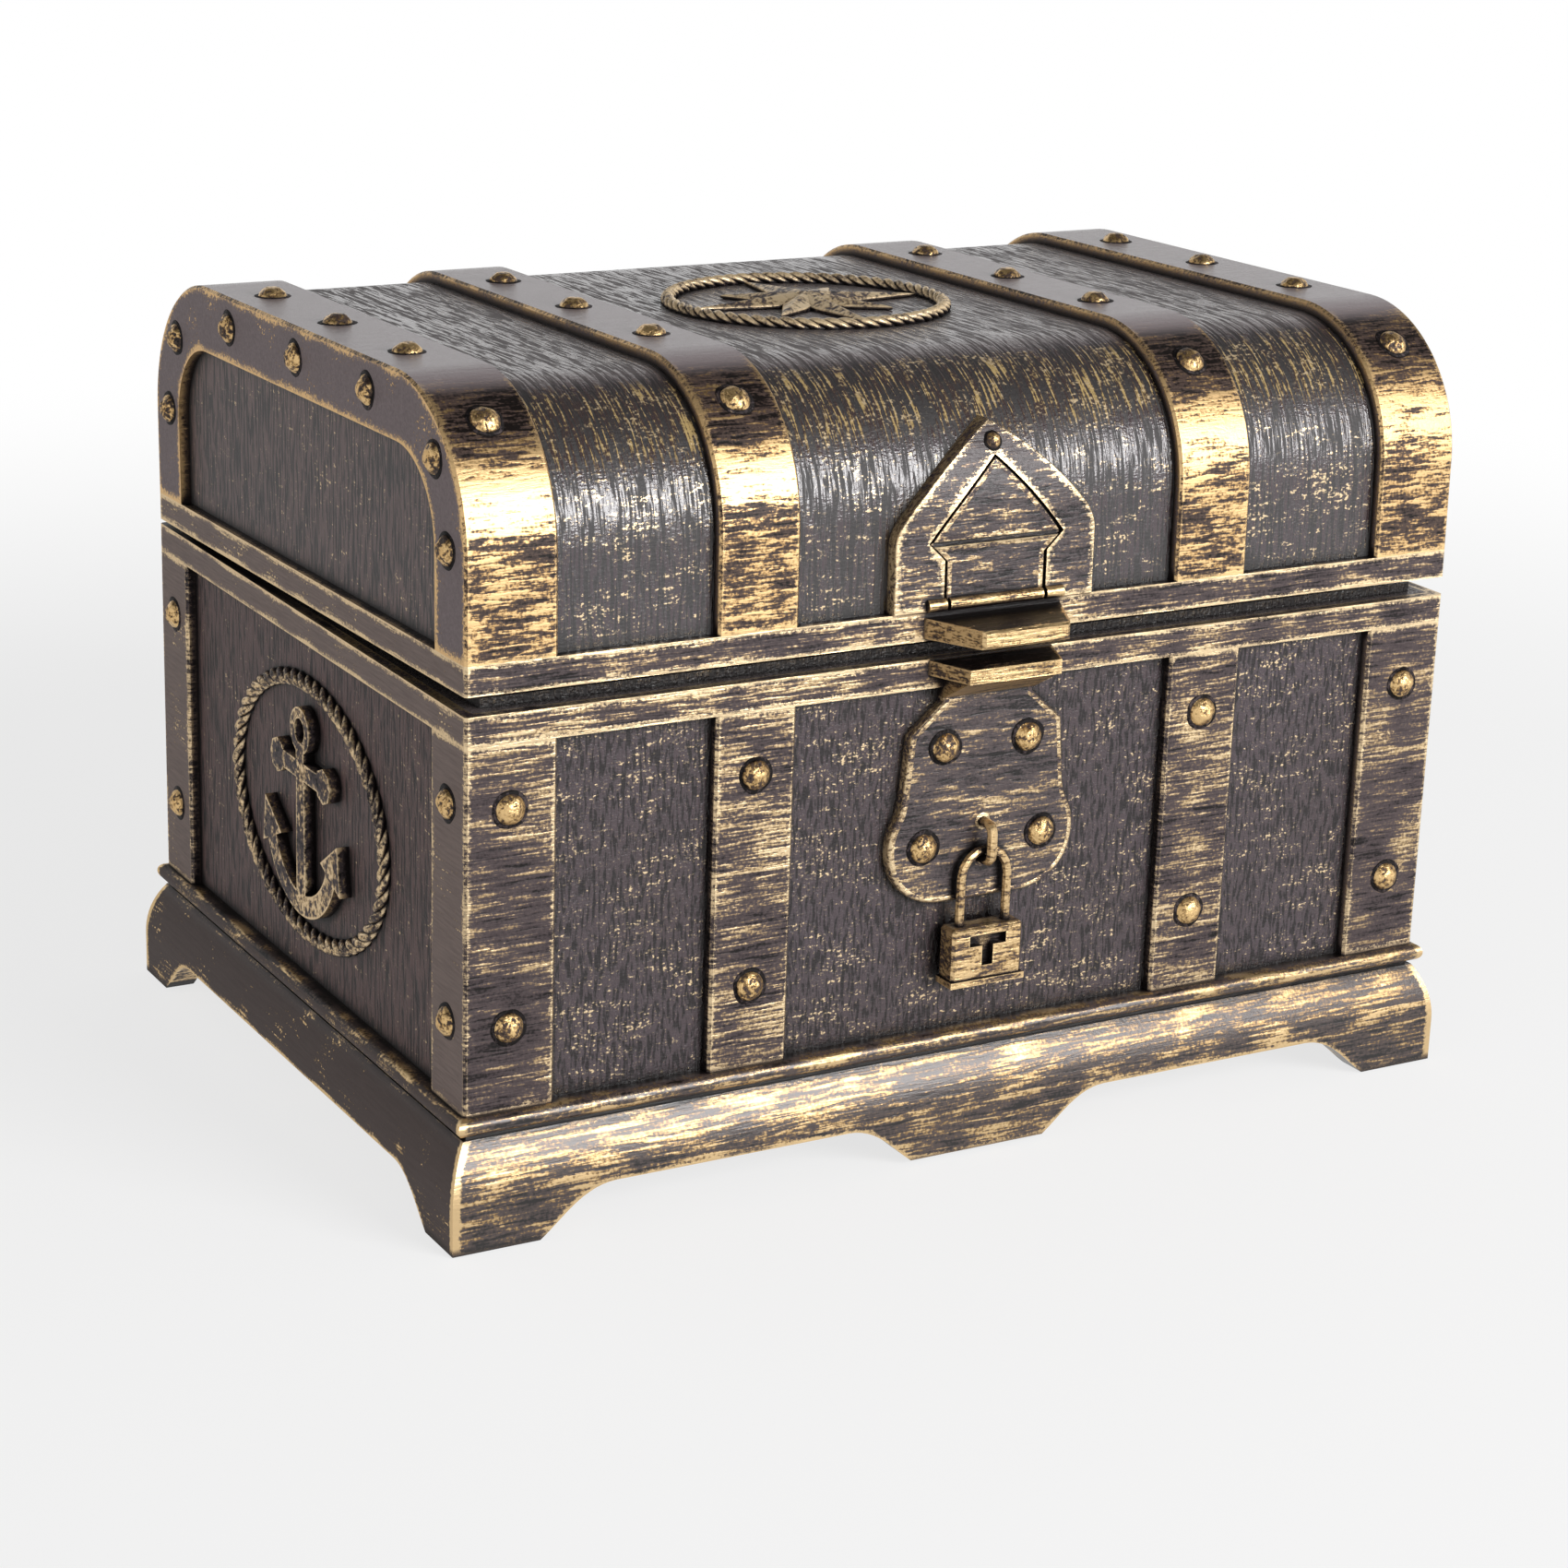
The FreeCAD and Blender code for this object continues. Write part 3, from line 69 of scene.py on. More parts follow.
class Graph:
    """A material being written: helpers take sockets or plain values."""

    def __init__(self, name):
        self.material = bpy.data.materials.new(name)
        self.material.use_nodes = True
        self.tree = self.material.node_tree
        self.tree.nodes.clear()
        coords = self.add("ShaderNodeTexCoord")
        self.place = self.vector("SCALE", coords.outputs["Object"], scale=1 / MM)
        self.normal = coords.outputs["Normal"]

    def add(self, kind, **values):
        made = self.tree.nodes.new(kind)
        for key, value in values.items():
            setattr(made, key, value)
        return made

    def put(self, socket, value):
        if isinstance(value, bpy.types.NodeSocket):
            self.tree.links.new(value, socket)
        else:
            socket.default_value = value

    def math(self, operation, a, b=0.0, clamp=False):
        made = self.add("ShaderNodeMath", operation=operation, use_clamp=clamp)
        self.put(made.inputs[0], a)
        self.put(made.inputs[1], b)
        return made.outputs[0]

    def times(self, a, b):
        return self.math("MULTIPLY", a, b)

    def rest(self, share):
        """What a share leaves of 1."""
        return self.math("SUBTRACT", 1.0, share)

    def sum(self, *terms):
        """The sum of (value, weight) pairs and plain numbers."""
        total = None
        for term in terms:
            part = self.times(*term) if isinstance(term, tuple) else term
            total = part if total is None else self.math("ADD", total, part)
        return total

    def vector(self, operation, a, b=(0, 0, 0), scale=1.0):
        made = self.add("ShaderNodeVectorMath", operation=operation)
        self.put(made.inputs[0], a)
        if operation not in ("SCALE", "LENGTH"):
            self.put(made.inputs[1], b)
        if operation == "SCALE":
            self.put(made.inputs["Scale"], scale)
        return made.outputs["Value" if operation in ("DOT_PRODUCT", "LENGTH") else "Vector"]

    def axes(self, vector):
        made = self.add("ShaderNodeSeparateXYZ")
        self.put(made.inputs[0], vector)
        return made.outputs

    def noise(self, stretch, detail, rough=0.55, twist=0.0, shift=(0, 0, 0)):
        """Noise over millimetres, spread to 0..1. A small stretch draws it out along that axis."""
        spot = self.vector("MULTIPLY", self.place, stretch)
        spot = self.vector("ADD", spot, shift)
        made = self.add("ShaderNodeTexNoise")
        self.put(made.inputs["Vector"], spot)
        settings = {"Scale": 1.0, "Detail": detail, "Roughness": rough, "Distortion": twist}
        for key, value in settings.items():
            made.inputs[key].default_value = value
        wide = self.add("ShaderNodeMapRange")
        self.put(wide.inputs["Value"], made.outputs["Fac"])
        wide.inputs["From Min"].default_value, wide.inputs["From Max"].default_value = NOISE_SPREAD
        return wide.outputs["Result"]

    def step(self, value, low, high):
        made = self.add("ShaderNodeMapRange", interpolation_type="SMOOTHSTEP")
        self.put(made.inputs["Value"], value)
        self.put(made.inputs["From Min"], low)
        self.put(made.inputs["From Max"], high)
        return made.outputs["Result"]

    def between(self, value, begins, ends):
        """1 from one range of values to the next, 0 outside."""
        return self.times(self.step(value, *begins), self.rest(self.step(value, *ends)))

    def blend(self, factor, a, b):
        made = self.add("ShaderNodeMix", data_type="RGBA")
        self.put(made.inputs["Factor"], factor)
        self.put(made.inputs["A"], a)
        self.put(made.inputs["B"], b)
        return made.outputs["Result"]

    def lerp(self, factor, a, b):
        made = self.add("ShaderNodeMix", data_type="FLOAT")
        self.put(made.inputs[0], factor)
        self.put(made.inputs[2], a)
        self.put(made.inputs[3], b)
        return made.outputs[0]

    def ramp(self, factor, stops):
        """A colour read from (place, colour) stops."""
        made = self.add("ShaderNodeValToRGB")
        self.put(made.inputs["Fac"], factor)
        bar = made.color_ramp.elements
        while len(bar) < len(stops):
            bar.new(0.5)
        for element, (place, colour) in zip(bar, stops):
            element.position = place
            element.color = colour
        return made.outputs["Color"]

    def shade(self, reach_mm, **values):
        """Near 0 on open faces, rising where something is near."""
        made = self.add("ShaderNodeAmbientOcclusion", samples=SHADE_SAMPLES, **values)
        made.inputs["Distance"].default_value = reach_mm * MM
        return self.rest(made.outputs["AO"])

    def edges(self, reach_mm):
        """Rising towards outer edges."""
        return self.shade(reach_mm, inside=True, only_local=True)

    def corners(self, reach_mm):
        """Rising in inner corners and around fittings."""
        return self.shade(reach_mm)

    def finish(self, colour, metal, rough, height, relief_mm, specular):
        shader = self.add("ShaderNodeBsdfPrincipled")
        self.put(shader.inputs["Base Color"], colour)
        self.put(shader.inputs["Metallic"], metal)
        self.put(shader.inputs["Roughness"], rough)
        shader.inputs["Specular IOR Level"].default_value = specular
        bump = self.add("ShaderNodeBump")
        bump.inputs["Distance"].default_value = relief_mm * MM
        self.put(bump.inputs["Height"], height)
        self.put(shader.inputs["Normal"], bump.outputs[0])
        self.show(shader)
        return self.material

    def show(self, shader):
        out = self.add("ShaderNodeOutputMaterial")
        self.put(out.inputs["Surface"], shader.outputs[0])


# Paints
BLACK = (0.006, 0.004, 0.004, 1)
DARK_WARM = (0.050, 0.034, 0.032, 1)
GOLD = (0.42, 0.295, 0.160, 1)
GOLD_PALE = (0.74, 0.570, 0.350, 1)
OLIVE = (0.40, 0.285, 0.120, 1)
PANEL = (0.063, 0.047, 0.054, 1)
# PANEL_END and the FLANK paints below colour the end faces: partly painted shade, matched to the end
# away from the lamp, partly the ends' own duller paint
PANEL_END = (0.098, 0.057, 0.053, 1)
# PANEL_TOP is a painted reflection: the paler satin of the lid's top
PANEL_TOP = (0.150, 0.122, 0.122, 1)
LID_PANEL = (0.050, 0.035, 0.041, 1)
# STRAP_TOP is a painted reflection: the paler satin of the lid straps' tops
STRAP_TOP = (0.230, 0.190, 0.194, 1)
FLANK = (0.205, 0.165, 0.168, 1)
FLANK_WARM = (0.205, 0.156, 0.138, 1)
FLANK_DARK = (0.082, 0.060, 0.054, 1)

# Brushed faces: paints from grooves to rubbed ridges, over levels of -RUB_SPAN to RUB_SPAN
RUB_SPAN = 0.5
RUB_STOPS = (
    (0.10, BLACK),
    (0.26, (0.046, 0.034, 0.036, 1)),
    (0.50, (0.076, 0.057, 0.057, 1)),
    (0.57, (0.170, 0.122, 0.088, 1)),
    (0.67, GOLD),
    (0.84, GOLD_PALE),
)
GILT_RANGE = (-0.04, 0.14)
# The brush's strokes: hairs are finer than the grain by this factor, the rest is steps per millimetre
HAIRS_FINER = 2.1
SPECK_STRETCH = (1.7, 1.7, 1.7)
CLUMP_STRETCH = (0.10, 0.10, 0.11)
# Weights of grain, hairs and specks in the rub and in the relief
RUB_WEIGHTS = (0.44, 0.34, 0.22)
RELIEF_WEIGHTS = (0.5, 0.3, 0.2)
# Weights of hairs, specks and clumps that fray the worn edges
FRAY_WEIGHTS = (0.26, 0.26, 0.24)
WORN_RANGE = (0.08, 0.34)
WORN_GAIN = 0.92
SHADE_AND_GRIME_DEPTH = 0.8
# How far a normal leans along x or upwards on end faces, top faces, slants and the lid's brow
STRAP_END_FACING = (0.75, 0.90)
STRAP_TOP_FACING = (0.90, 0.985)
STRAP_SLANT_BEGINS = (0.10, 0.35)
STRAP_SLANT_ENDS = (0.52, 0.78)
# Where the lid straps take painted shade below their tops, a dark reflection
STRAP_BROW_FACING = (0.40, 0.62)
END_ROUGHNESS = 0.62
CROWN_ROUGHNESS = 0.24
FLANK_STREAKS = 0.32


def brushed(name, streak, amount, ends=0.0, top=0.0, curve=0.0, brow=0.0, calm=0.0, worn_edges=True,
            reach_mm=1.4, patch=0.30, relief_mm=0.10, tone=(1, 1, 1), metal=0.9, rough=(0.42, 0.34),
            twist=0.5, shade_and_grime_mm=2.4, shade_and_grime_range=(0.12, 0.40), specular=0.2, gain=1.2, crown=None,
            flank=None):
    """A dark ground with gold dragged over its grain.

    The amount is the share covered. Ends, top, curve and brow are added to it where a face looks
    along x, looks up, slants, or slants near the top. Calm is how far the grain fades on slants.
    Crown and flank are the plain paints of faces that look up and along x. The crown is a painted
    reflection, the paler satin of the tops; a negative brow is painted shade, a dark reflection below
    them; flank and negative ends are partly painted shade and partly a duller, less brushed paint.
    The corners mask darkens inner corners and the feet of fittings: painted shade, partly the dark
    that the dry brush leaves in hollows.
    """
    g = Graph(name)
    nx, _, nz = g.axes(g.normal)
    grain = g.noise(streak, detail=4.0, rough=0.62, twist=twist)
    hair_streak = tuple(HAIRS_FINER * stretch for stretch in streak)
    hairs = g.noise(hair_streak, detail=2.0, twist=twist, shift=(4, 6, 1))
    specks = g.noise(SPECK_STRETCH, detail=2.0, shift=(7, 3, 5))
    clumps = g.noise(CLUMP_STRETCH, detail=1.0, shift=(2, 9, 4))
    end_face = g.step(g.math("ABSOLUTE", nx), *STRAP_END_FACING)
    top_face = g.step(nz, *STRAP_TOP_FACING)
    slant = g.between(nz, STRAP_SLANT_BEGINS, STRAP_SLANT_ENDS)

    strokes = [(part, gain * weight) for part, weight in zip((grain, hairs, specks), RUB_WEIGHTS)]
    rub = g.sum(*strokes, (clumps, patch), -(gain + patch) / 2)
    rub = g.times(rub, g.sum((slant, -calm), 1.0))
    # A negative brow is painted shade, a dark reflection below the tops of the lid straps
    level = g.sum(rub, (end_face, ends), (top_face, top), (slant, curve),
                  (g.step(nz, *STRAP_BROW_FACING), brow), amount - RUB_SPAN)
    if worn_edges:
        frays = zip((hairs, specks, clumps), FRAY_WEIGHTS)
        worn = g.sum(g.edges(reach_mm), *frays, -sum(FRAY_WEIGHTS) / 2)
        worn = g.times(g.step(worn, *WORN_RANGE), WORN_GAIN)
        level = g.math("MAXIMUM", level, g.math("SUBTRACT", worn, RUB_SPAN))
    # Painted shade: darker in inner corners, at the feet of raised parts and round fittings, partly the
    # dark that the dry brush leaves in hollows
    shade_and_grime = g.step(g.corners(shade_and_grime_mm), *shade_and_grime_range)
    level = g.math("SUBTRACT", level, g.times(shade_and_grime, SHADE_AND_GRIME_DEPTH))

    gilt = g.step(level, *GILT_RANGE)
    stops = [(place, tuple(a * b for a, b in zip(tone, paint)) + (1,)) for place, paint in RUB_STOPS]
    colour = g.ramp(g.math("ADD", level, RUB_SPAN, clamp=True), stops)
    # End faces take a plain flank paint: partly painted shade, partly a duller, less brushed paint
    if flank:
        bare = g.times(g.rest(gilt), g.rest(shade_and_grime))
        plain = g.blend(g.times(hairs, FLANK_STREAKS), flank, DARK_WARM)
        colour = g.blend(g.times(end_face, bare), colour, plain)
    # Painted reflection: faces that look up take the paler crown paint and lose their gold
    if crown:
        colour = g.blend(top_face, colour, crown)
        gilt = g.times(gilt, g.rest(top_face))

    roughness = g.lerp(gilt, *rough) if rough[0] != rough[1] else rough[0]
    if min(rough) < END_ROUGHNESS:
        roughness = g.math("MAXIMUM", roughness, g.times(end_face, END_ROUGHNESS))
    if crown:
        roughness = g.lerp(top_face, roughness, CROWN_ROUGHNESS)
    height = g.sum(*zip((grain, hairs, specks), RELIEF_WEIGHTS))
    return g.finish(colour, g.times(gilt, metal), roughness, height, relief_mm, specular)


# Ridged panels: the noises' steps per millimetre
PANEL_END_RIDGE = (1.6, 1.6, 0.16)
DOT_STRETCH = (1.4, 1.4, 2.3)
LINE_STRETCH = (0.18, 0.18, 1.0)
PATCH_STRETCH = (0.09, 0.09, 0.09)
BROAD_STRETCH = (0.03, 0.03, 0.03)
BROAD_WEIGHT = 0.4
# Weights of dots, ridges, lines and patches in the gold flecks, and less of them on ends and top
FLECK_WEIGHTS = (0.46, 0.24, 0.30, 0.16)
FLECK_LIMIT = 1.08
FLECKS_ON_ENDS = -0.10
FLECKS_ON_TOP = -0.45
FLECK_RANGE = (0.0, 0.06)
FLECK_METAL = 0.6
FLECK_ROUGHNESS = 0.36
DUST_RANGE = (-0.14, 0.02)
DUST_SHARE = 0.20
# Weights of ridges, dots and patches in the olive fibres on the lid's brow
FIBRE_WEIGHTS = (0.95, 0.28, 0.30)
FIBRE_LIMIT = 0.90
FIBRE_RANGE = (0.0, 0.30)
# Weights of ridges and dots in the relief
PANEL_RELIEF_WEIGHTS = (0.65, 0.35)
GROOVE_DARKNESS = 0.9
TOP_GROOVE_DARKNESS = 0.5
GROOVE_ROUGHNESS = 0.66
# Painted shade in inner corners and beside raised parts, partly dark paint left in the hollows
PANEL_SHADE_AND_GRIME_MM = 3.4
PANEL_SHADE_AND_GRIME_RANGE = (0.13, 0.40)
PANEL_END_FACING = (0.60, 0.80)
PANEL_TOP_FACING = (0.93, 0.99)
PANEL_BROW_BEGINS = (0.45, 0.62)
PANEL_BROW_ENDS = (0.88, 0.97)
# The plainer inner faces of box and lid
OUTSIDE_RANGE = (-1.0, 0.0)
INSIDE_CREST = 0.75
INSIDE_RELIEF = 0.35
INSIDE_ROUGHNESS = 0.5


def panel(name, ridge, heart_z, flecks, specular, relief_mm=0.13, gloss=0.27, paint=PANEL,
          crests=(0.22, 0.62)):
    """Fine ridges, dull in the grooves, with flecks of gold where the brush crossed them."""
    g = Graph(name)
    nx, _, nz = g.axes(g.normal)
    end_face = g.step(g.math("ABSOLUTE", nx), *PANEL_END_FACING)
    top_face = g.step(nz, *PANEL_TOP_FACING)
    brow = g.between(nz, PANEL_BROW_BEGINS, PANEL_BROW_ENDS)
    from_heart = g.vector("SUBTRACT", g.place, (0, MIDDLE_Y, heart_z))
    outside = g.step(g.vector("DOT_PRODUCT", g.normal, from_heart), *OUTSIDE_RANGE)
    ridges = g.lerp(end_face, g.noise(ridge, detail=2.0, twist=0.4),
                    g.noise(PANEL_END_RIDGE, detail=2.0, twist=0.5))
    dots = g.noise(DOT_STRETCH, detail=1.0, shift=(1, 8, 2))
    lines = g.noise(LINE_STRETCH, detail=2.0, shift=(5, 5, 5))
    patches = g.noise(PATCH_STRETCH, detail=1.5, shift=(3, 1, 6))
    broad = g.noise(BROAD_STRETCH, detail=1.0, shift=(3, 1, 6))
    crest = g.lerp(outside, INSIDE_CREST, g.step(ridges, *crests))
    # Painted shade in inner corners and beside the straps, partly dark paint left in hollows: it clears
    # the flecks and turns the ground black
    shade_and_grime = g.step(g.corners(PANEL_SHADE_AND_GRIME_MM), *PANEL_SHADE_AND_GRIME_RANGE)

    level = g.sum(*zip((dots, ridges, lines, patches), FLECK_WEIGHTS), (end_face, FLECKS_ON_ENDS),
                  (top_face, FLECKS_ON_TOP), flecks - FLECK_LIMIT)
    dust = g.times(g.step(level, *DUST_RANGE), DUST_SHARE)
    gilt = g.math("MAXIMUM", g.step(level, *FLECK_RANGE), dust)
    gilt = g.times(g.times(gilt, outside), g.rest(shade_and_grime))
    fibre = g.sum(*zip((ridges, dots, patches), FIBRE_WEIGHTS), -FIBRE_LIMIT)
    fibre = g.times(g.times(g.step(fibre, *FIBRE_RANGE), brow), outside)

    ground = g.blend(g.times(broad, BROAD_WEIGHT), paint, DARK_WARM)
    ground = g.blend(brow, ground, DARK_WARM)
    # End faces: partly painted shade, partly their own duller paint
    ground = g.blend(end_face, ground, PANEL_END)
    # Painted reflection: the lid's top faces paler, and their grooves less dark by TOP_GROOVE_DARKNESS
    ground = g.blend(g.times(top_face, outside), ground, PANEL_TOP)
    darkness = g.sum((top_face, TOP_GROOVE_DARKNESS - GROOVE_DARKNESS), GROOVE_DARKNESS)
    ground = g.blend(g.times(g.rest(crest), darkness), ground, BLACK)
    ground = g.blend(shade_and_grime, ground, BLACK)
    ground = g.blend(fibre, ground, OLIVE)
    colour = g.blend(gilt, ground, g.blend(dots, GOLD, GOLD_PALE))

    roughness = g.lerp(gilt, g.lerp(crest, GROOVE_ROUGHNESS, gloss), FLECK_ROUGHNESS)
    roughness = g.lerp(outside, INSIDE_ROUGHNESS, roughness)
    roughness = g.math("MAXIMUM", roughness, g.times(end_face, END_ROUGHNESS))
    height = g.sum(*zip((ridges, dots), PANEL_RELIEF_WEIGHTS))
    height = g.times(height, g.lerp(outside, INSIDE_RELIEF, 1.0))
    return g.finish(colour, g.times(gilt, FLECK_METAL), roughness, height, relief_mm, specular)


# The materials
body_panels = panel("body_panels", ridge=(1.6, 1.6, 0.30), heart_z=50, flecks=0.215, specular=0.45)
lid_panels = panel("lid_panels", ridge=(2.0, 0.15, 0.15), heart_z=96, flecks=0.24, relief_mm=0.08,
                   specular=0.85, gloss=0.17, paint=LID_PANEL, crests=(0.36, 0.62))
body_straps = brushed("body_straps", streak=(0.08, 0.08, 1.1), amount=0.50, ends=-0.24)
corner_irons = brushed("corner_irons", streak=(0.08, 0.08, 1.1), amount=0.44, ends=-0.34, gain=0.95,
                       flank=FLANK_WARM)
rails = brushed("rails", streak=(0.08, 0.08, 1.25), amount=0.46, ends=-0.38, gain=1.05,
                flank=FLANK_WARM)
# Lid straps: the brow is painted shade, the crown a painted reflection, the flank partly painted shade
lid_straps = brushed("lid_straps", streak=(0.10, 0.80, 0.80), amount=0.60, ends=-0.70, curve=0.36,
                     brow=-0.34, relief_mm=0.06, tone=(0.98, 0.87, 0.70), gain=1.5,
                     rough=(0.45, 0.42), twist=0.9, reach_mm=1.8, crown=STRAP_TOP, flank=FLANK)
plinth_wood = brushed("plinth_wood", streak=(0.07, 0.07, 1.0), amount=0.49, ends=-0.32, curve=0.07,
                      calm=0.66, rough=(0.28, 0.33), relief_mm=0.05, specular=0.6, reach_mm=1.2,
                      tone=(0.93, 0.87, 0.76), gain=1.6, patch=0.42)
plinth_ends = brushed("plinth_ends", streak=(0.07, 0.07, 1.0), amount=0.52, ends=-0.26, curve=-0.12,
                      rough=(0.5, 0.4), relief_mm=0.05, reach_mm=1.0, tone=(1.0, 0.95, 0.82),
                      flank=FLANK_DARK)
clasp_metal = brushed("clasp_metal", streak=(0.12, 1.0, 1.0), amount=0.42, top=-0.5, calm=0.5,
                      reach_mm=0.8, rough=(0.34, 0.34), specular=0.4)
clasp_arch = brushed("clasp_arch", streak=(0.12, 1.0, 1.0), amount=0.42, top=-0.5, calm=0.5,
                     reach_mm=1.9, rough=(0.34, 0.34), specular=0.4)
clasp_rims = brushed("clasp_rims", streak=(0.2, 1.0, 1.0), amount=0.68, reach_mm=0.6, calm=0.4,
                     shade_and_grime_mm=1.2, shade_and_grime_range=(0.25, 0.60))
clasp_fronts = brushed("clasp_fronts", streak=(0.10, 0.4, 1.4), amount=0.76, ends=-0.1, top=-0.85,
                       reach_mm=0.7, tone=(0.86, 0.79, 0.66))
fittings = brushed("fittings", streak=(0.14, 0.5, 1.1), amount=0.74, reach_mm=0.8, shade_and_grime_mm=3.0,
                   shade_and_grime_range=(0.12, 0.36), tone=(1.0, 0.93, 0.80))
relief_gold = brushed("relief_gold", streak=(0.5, 0.5, 0.5), amount=0.52, reach_mm=0.9, shade_and_grime_mm=2.0)
lid_relief = brushed("lid_relief", streak=(0.5, 0.5, 0.5), amount=0.66, reach_mm=0.9, shade_and_grime_mm=1.6,
                     metal=0.45)
rivet_gold = brushed("rivet_gold", streak=(0.7, 0.7, 0.7), amount=0.72, worn_edges=False, shade_and_grime_mm=1.2,
                     shade_and_grime_range=(0.20, 0.60), relief_mm=0.16, tone=(1.0, 0.89, 0.68), gain=1.4)
# The dark ring round each rivet's foot: painted shadow, partly a dark wash
rivet_shadow_wash = brushed("rivet_shadow_wash", streak=(0.7, 0.7, 0.7), amount=0.10, worn_edges=False,
                     rough=(0.7, 0.7))
pin_steel = brushed("pin_steel", streak=(2.0, 0.4, 0.4), amount=0.5, tone=(1.2, 1.3, 1.4))

# Which nodes wear which material, by how their names start
LOOKS = (
    (("body_shell",), body_panels),
    (("lid_shell",), lid_panels),
    (("plinth_left", "plinth_right"), plinth_ends),
    (("plinth",), plinth_wood),
    (("body_rim_band", "lid_rim_band"), rails),
    (("body_strap",), body_straps),
    (("body_corner",), corner_irons),
    (("lid_binding", "lid_strap"), lid_straps),
    (("hasp_lip", "catch_ledge", "hasp_knuckles"), clasp_fronts),
    (("hasp_arch_plate",), clasp_arch),
    (("lock_plate", "hasp"), clasp_metal),
    (("lock_staple", "padlock", "hinge_leaf"), fittings),
    (("end_",), relief_gold),
    (("lid_compass",), lid_relief),
    (("hinge_pin",), pin_steel),
)


def look_of(name):
    if "rivet" in name:
        return rivet_gold
    return next(material for starts, material in LOOKS if name.startswith(starts))


for name, obj in nodes.items():
    obj.data.materials.clear()
    obj.data.materials.append(look_of(name))

# Pieces built over the plain nodes
HEART = Vector((0, MIDDLE_Y, 70)) * MM
WELD = 1e-6
ORDER_DIGITS = 5
NOISE_SEED = 1
noise.seed_set(NOISE_SEED)


def body_of(node):
    return next(body for body, empty in frame["bodies"].items() if empty == nodes[node].parent)


def add_piece(name, mesh, stands_for):
    """A smooth piece with the node's look that takes the node's place on its body."""
    piece = bpy.data.objects.new(name, mesh)
    bpy.context.scene.collection.objects.link(piece)
    mesh.materials.append(look_of(stands_for))
    for face in mesh.polygons:
        face.use_smooth = True
    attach(piece, body_of(stands_for))
    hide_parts(stands_for)


def islands(obj):
    """The separate solids of a node, each as an array of its corners in metres."""
    bm = bmesh.new()
    bm.from_mesh(obj.data)
    bmesh.ops.remove_doubles(bm, verts=bm.verts, dist=WELD)
    left = set(bm.verts)
    found = []
    while left:
        stack = [left.pop()]
        island = []
        while stack:
            corner = stack.pop()
            island.append(tuple(corner.co))
            near = [edge.other_vert(corner) for edge in corner.link_edges]
            fresh = [other for other in near if other in left]
            left.difference_update(fresh)
            stack.extend(fresh)
        found.append(np.array(sorted(island)))
    bm.free()
    return sorted(found, key=lambda corners: tuple(corners.mean(axis=0).round(ORDER_DIGITS)))


def outwards(way, middle):
    """The direction or its opposite, whichever points away from the chest's heart."""
    return -way if way.dot(middle - HEART) < 0 else way


# A rivet in shares of its radius: a thin dark ring, painted shadow round its foot and partly a dark
# wash, then a dome hammered into flats
SHADOW_WASH_RINGS = ((1.26, -0.14), (1.26, 0.012), (1.02, 0.016))
SHADOW_WASH_STRAY = 0.12
SHADOW_WASH_WAVES = 1.3
DOME_RINGS_DEG = (4, 20, 34, 48, 62, 76)
DOME_HEIGHT = 0.72
HEAD_SPREAD = 1.08
RIVET_SIDES = 28
SIDE_TURNS = [2 * math.pi * side / RIVET_SIDES for side in range(RIVET_SIDES)]
FLATS = 6
FLAT_SEED_STEPS = (7.3, 2.9, 5.1)
FLAT_TURN_STRAY = 0.6
FLAT_LEAN_DEG = 50
FLAT_LEAN_STRAY_DEG = 12
TOP_FLAT_STRAY = 0.25
FLAT_DEPTH = 0.90
FLAT_DEPTH_STRAY = 0.05
FLAT_FACING = 0.3


def hammer_flats(seed):
    """Directions and depths of the flats on one rivet, varied by its place; the last is on top."""
    flats = []
    for k in range(FLATS + 1):
        stray = noise.noise_vector(seed + Vector([k * step for step in FLAT_SEED_STEPS]))
        turn = 2 * math.pi * (k + FLAT_TURN_STRAY * stray.x) / FLATS
        lean = math.radians(FLAT_LEAN_DEG + FLAT_LEAN_STRAY_DEG * stray.y)
        if k == FLATS:
            lean = TOP_FLAT_STRAY * stray.y
        way = Vector((math.cos(turn) * math.sin(lean), math.sin(turn) * math.sin(lean), math.cos(lean)))
        flats.append((way, FLAT_DEPTH + FLAT_DEPTH_STRAY * stray.z))
    return flats


def rivet_rings(seed):
    """Rings of corners from the painted shadow ring up to the top of the dome."""
    flats = hammer_flats(seed)
    rings = []
    for wide, high in SHADOW_WASH_RINGS:
        ring = []
        for turn in SIDE_TURNS:
            out = Vector((math.cos(turn), math.sin(turn), 0))
            reach = wide + SHADOW_WASH_STRAY * noise.noise(seed + out * SHADOW_WASH_WAVES)
            ring.append(out * reach + Vector((0, 0, high)))
        rings.append(ring)
    for degrees in DOME_RINGS_DEG:
        rise = math.radians(degrees)
        ring = []
        for turn in SIDE_TURNS:
            wide = math.cos(rise)
            out = Vector((math.cos(turn) * wide, math.sin(turn) * wide, math.sin(rise)))
            cuts = [depth / out.dot(way) for way, depth in flats if out.dot(way) > FLAT_FACING]
            reach = min([1.0] + cuts)
            ring.append(Vector((out.x * reach, out.y * reach, out.z * reach * DOME_HEIGHT)))
        rings.append(ring)
    return [[Vector((x * HEAD_SPREAD, y * HEAD_SPREAD, z)) for x, y, z in ring] for ring in rings]


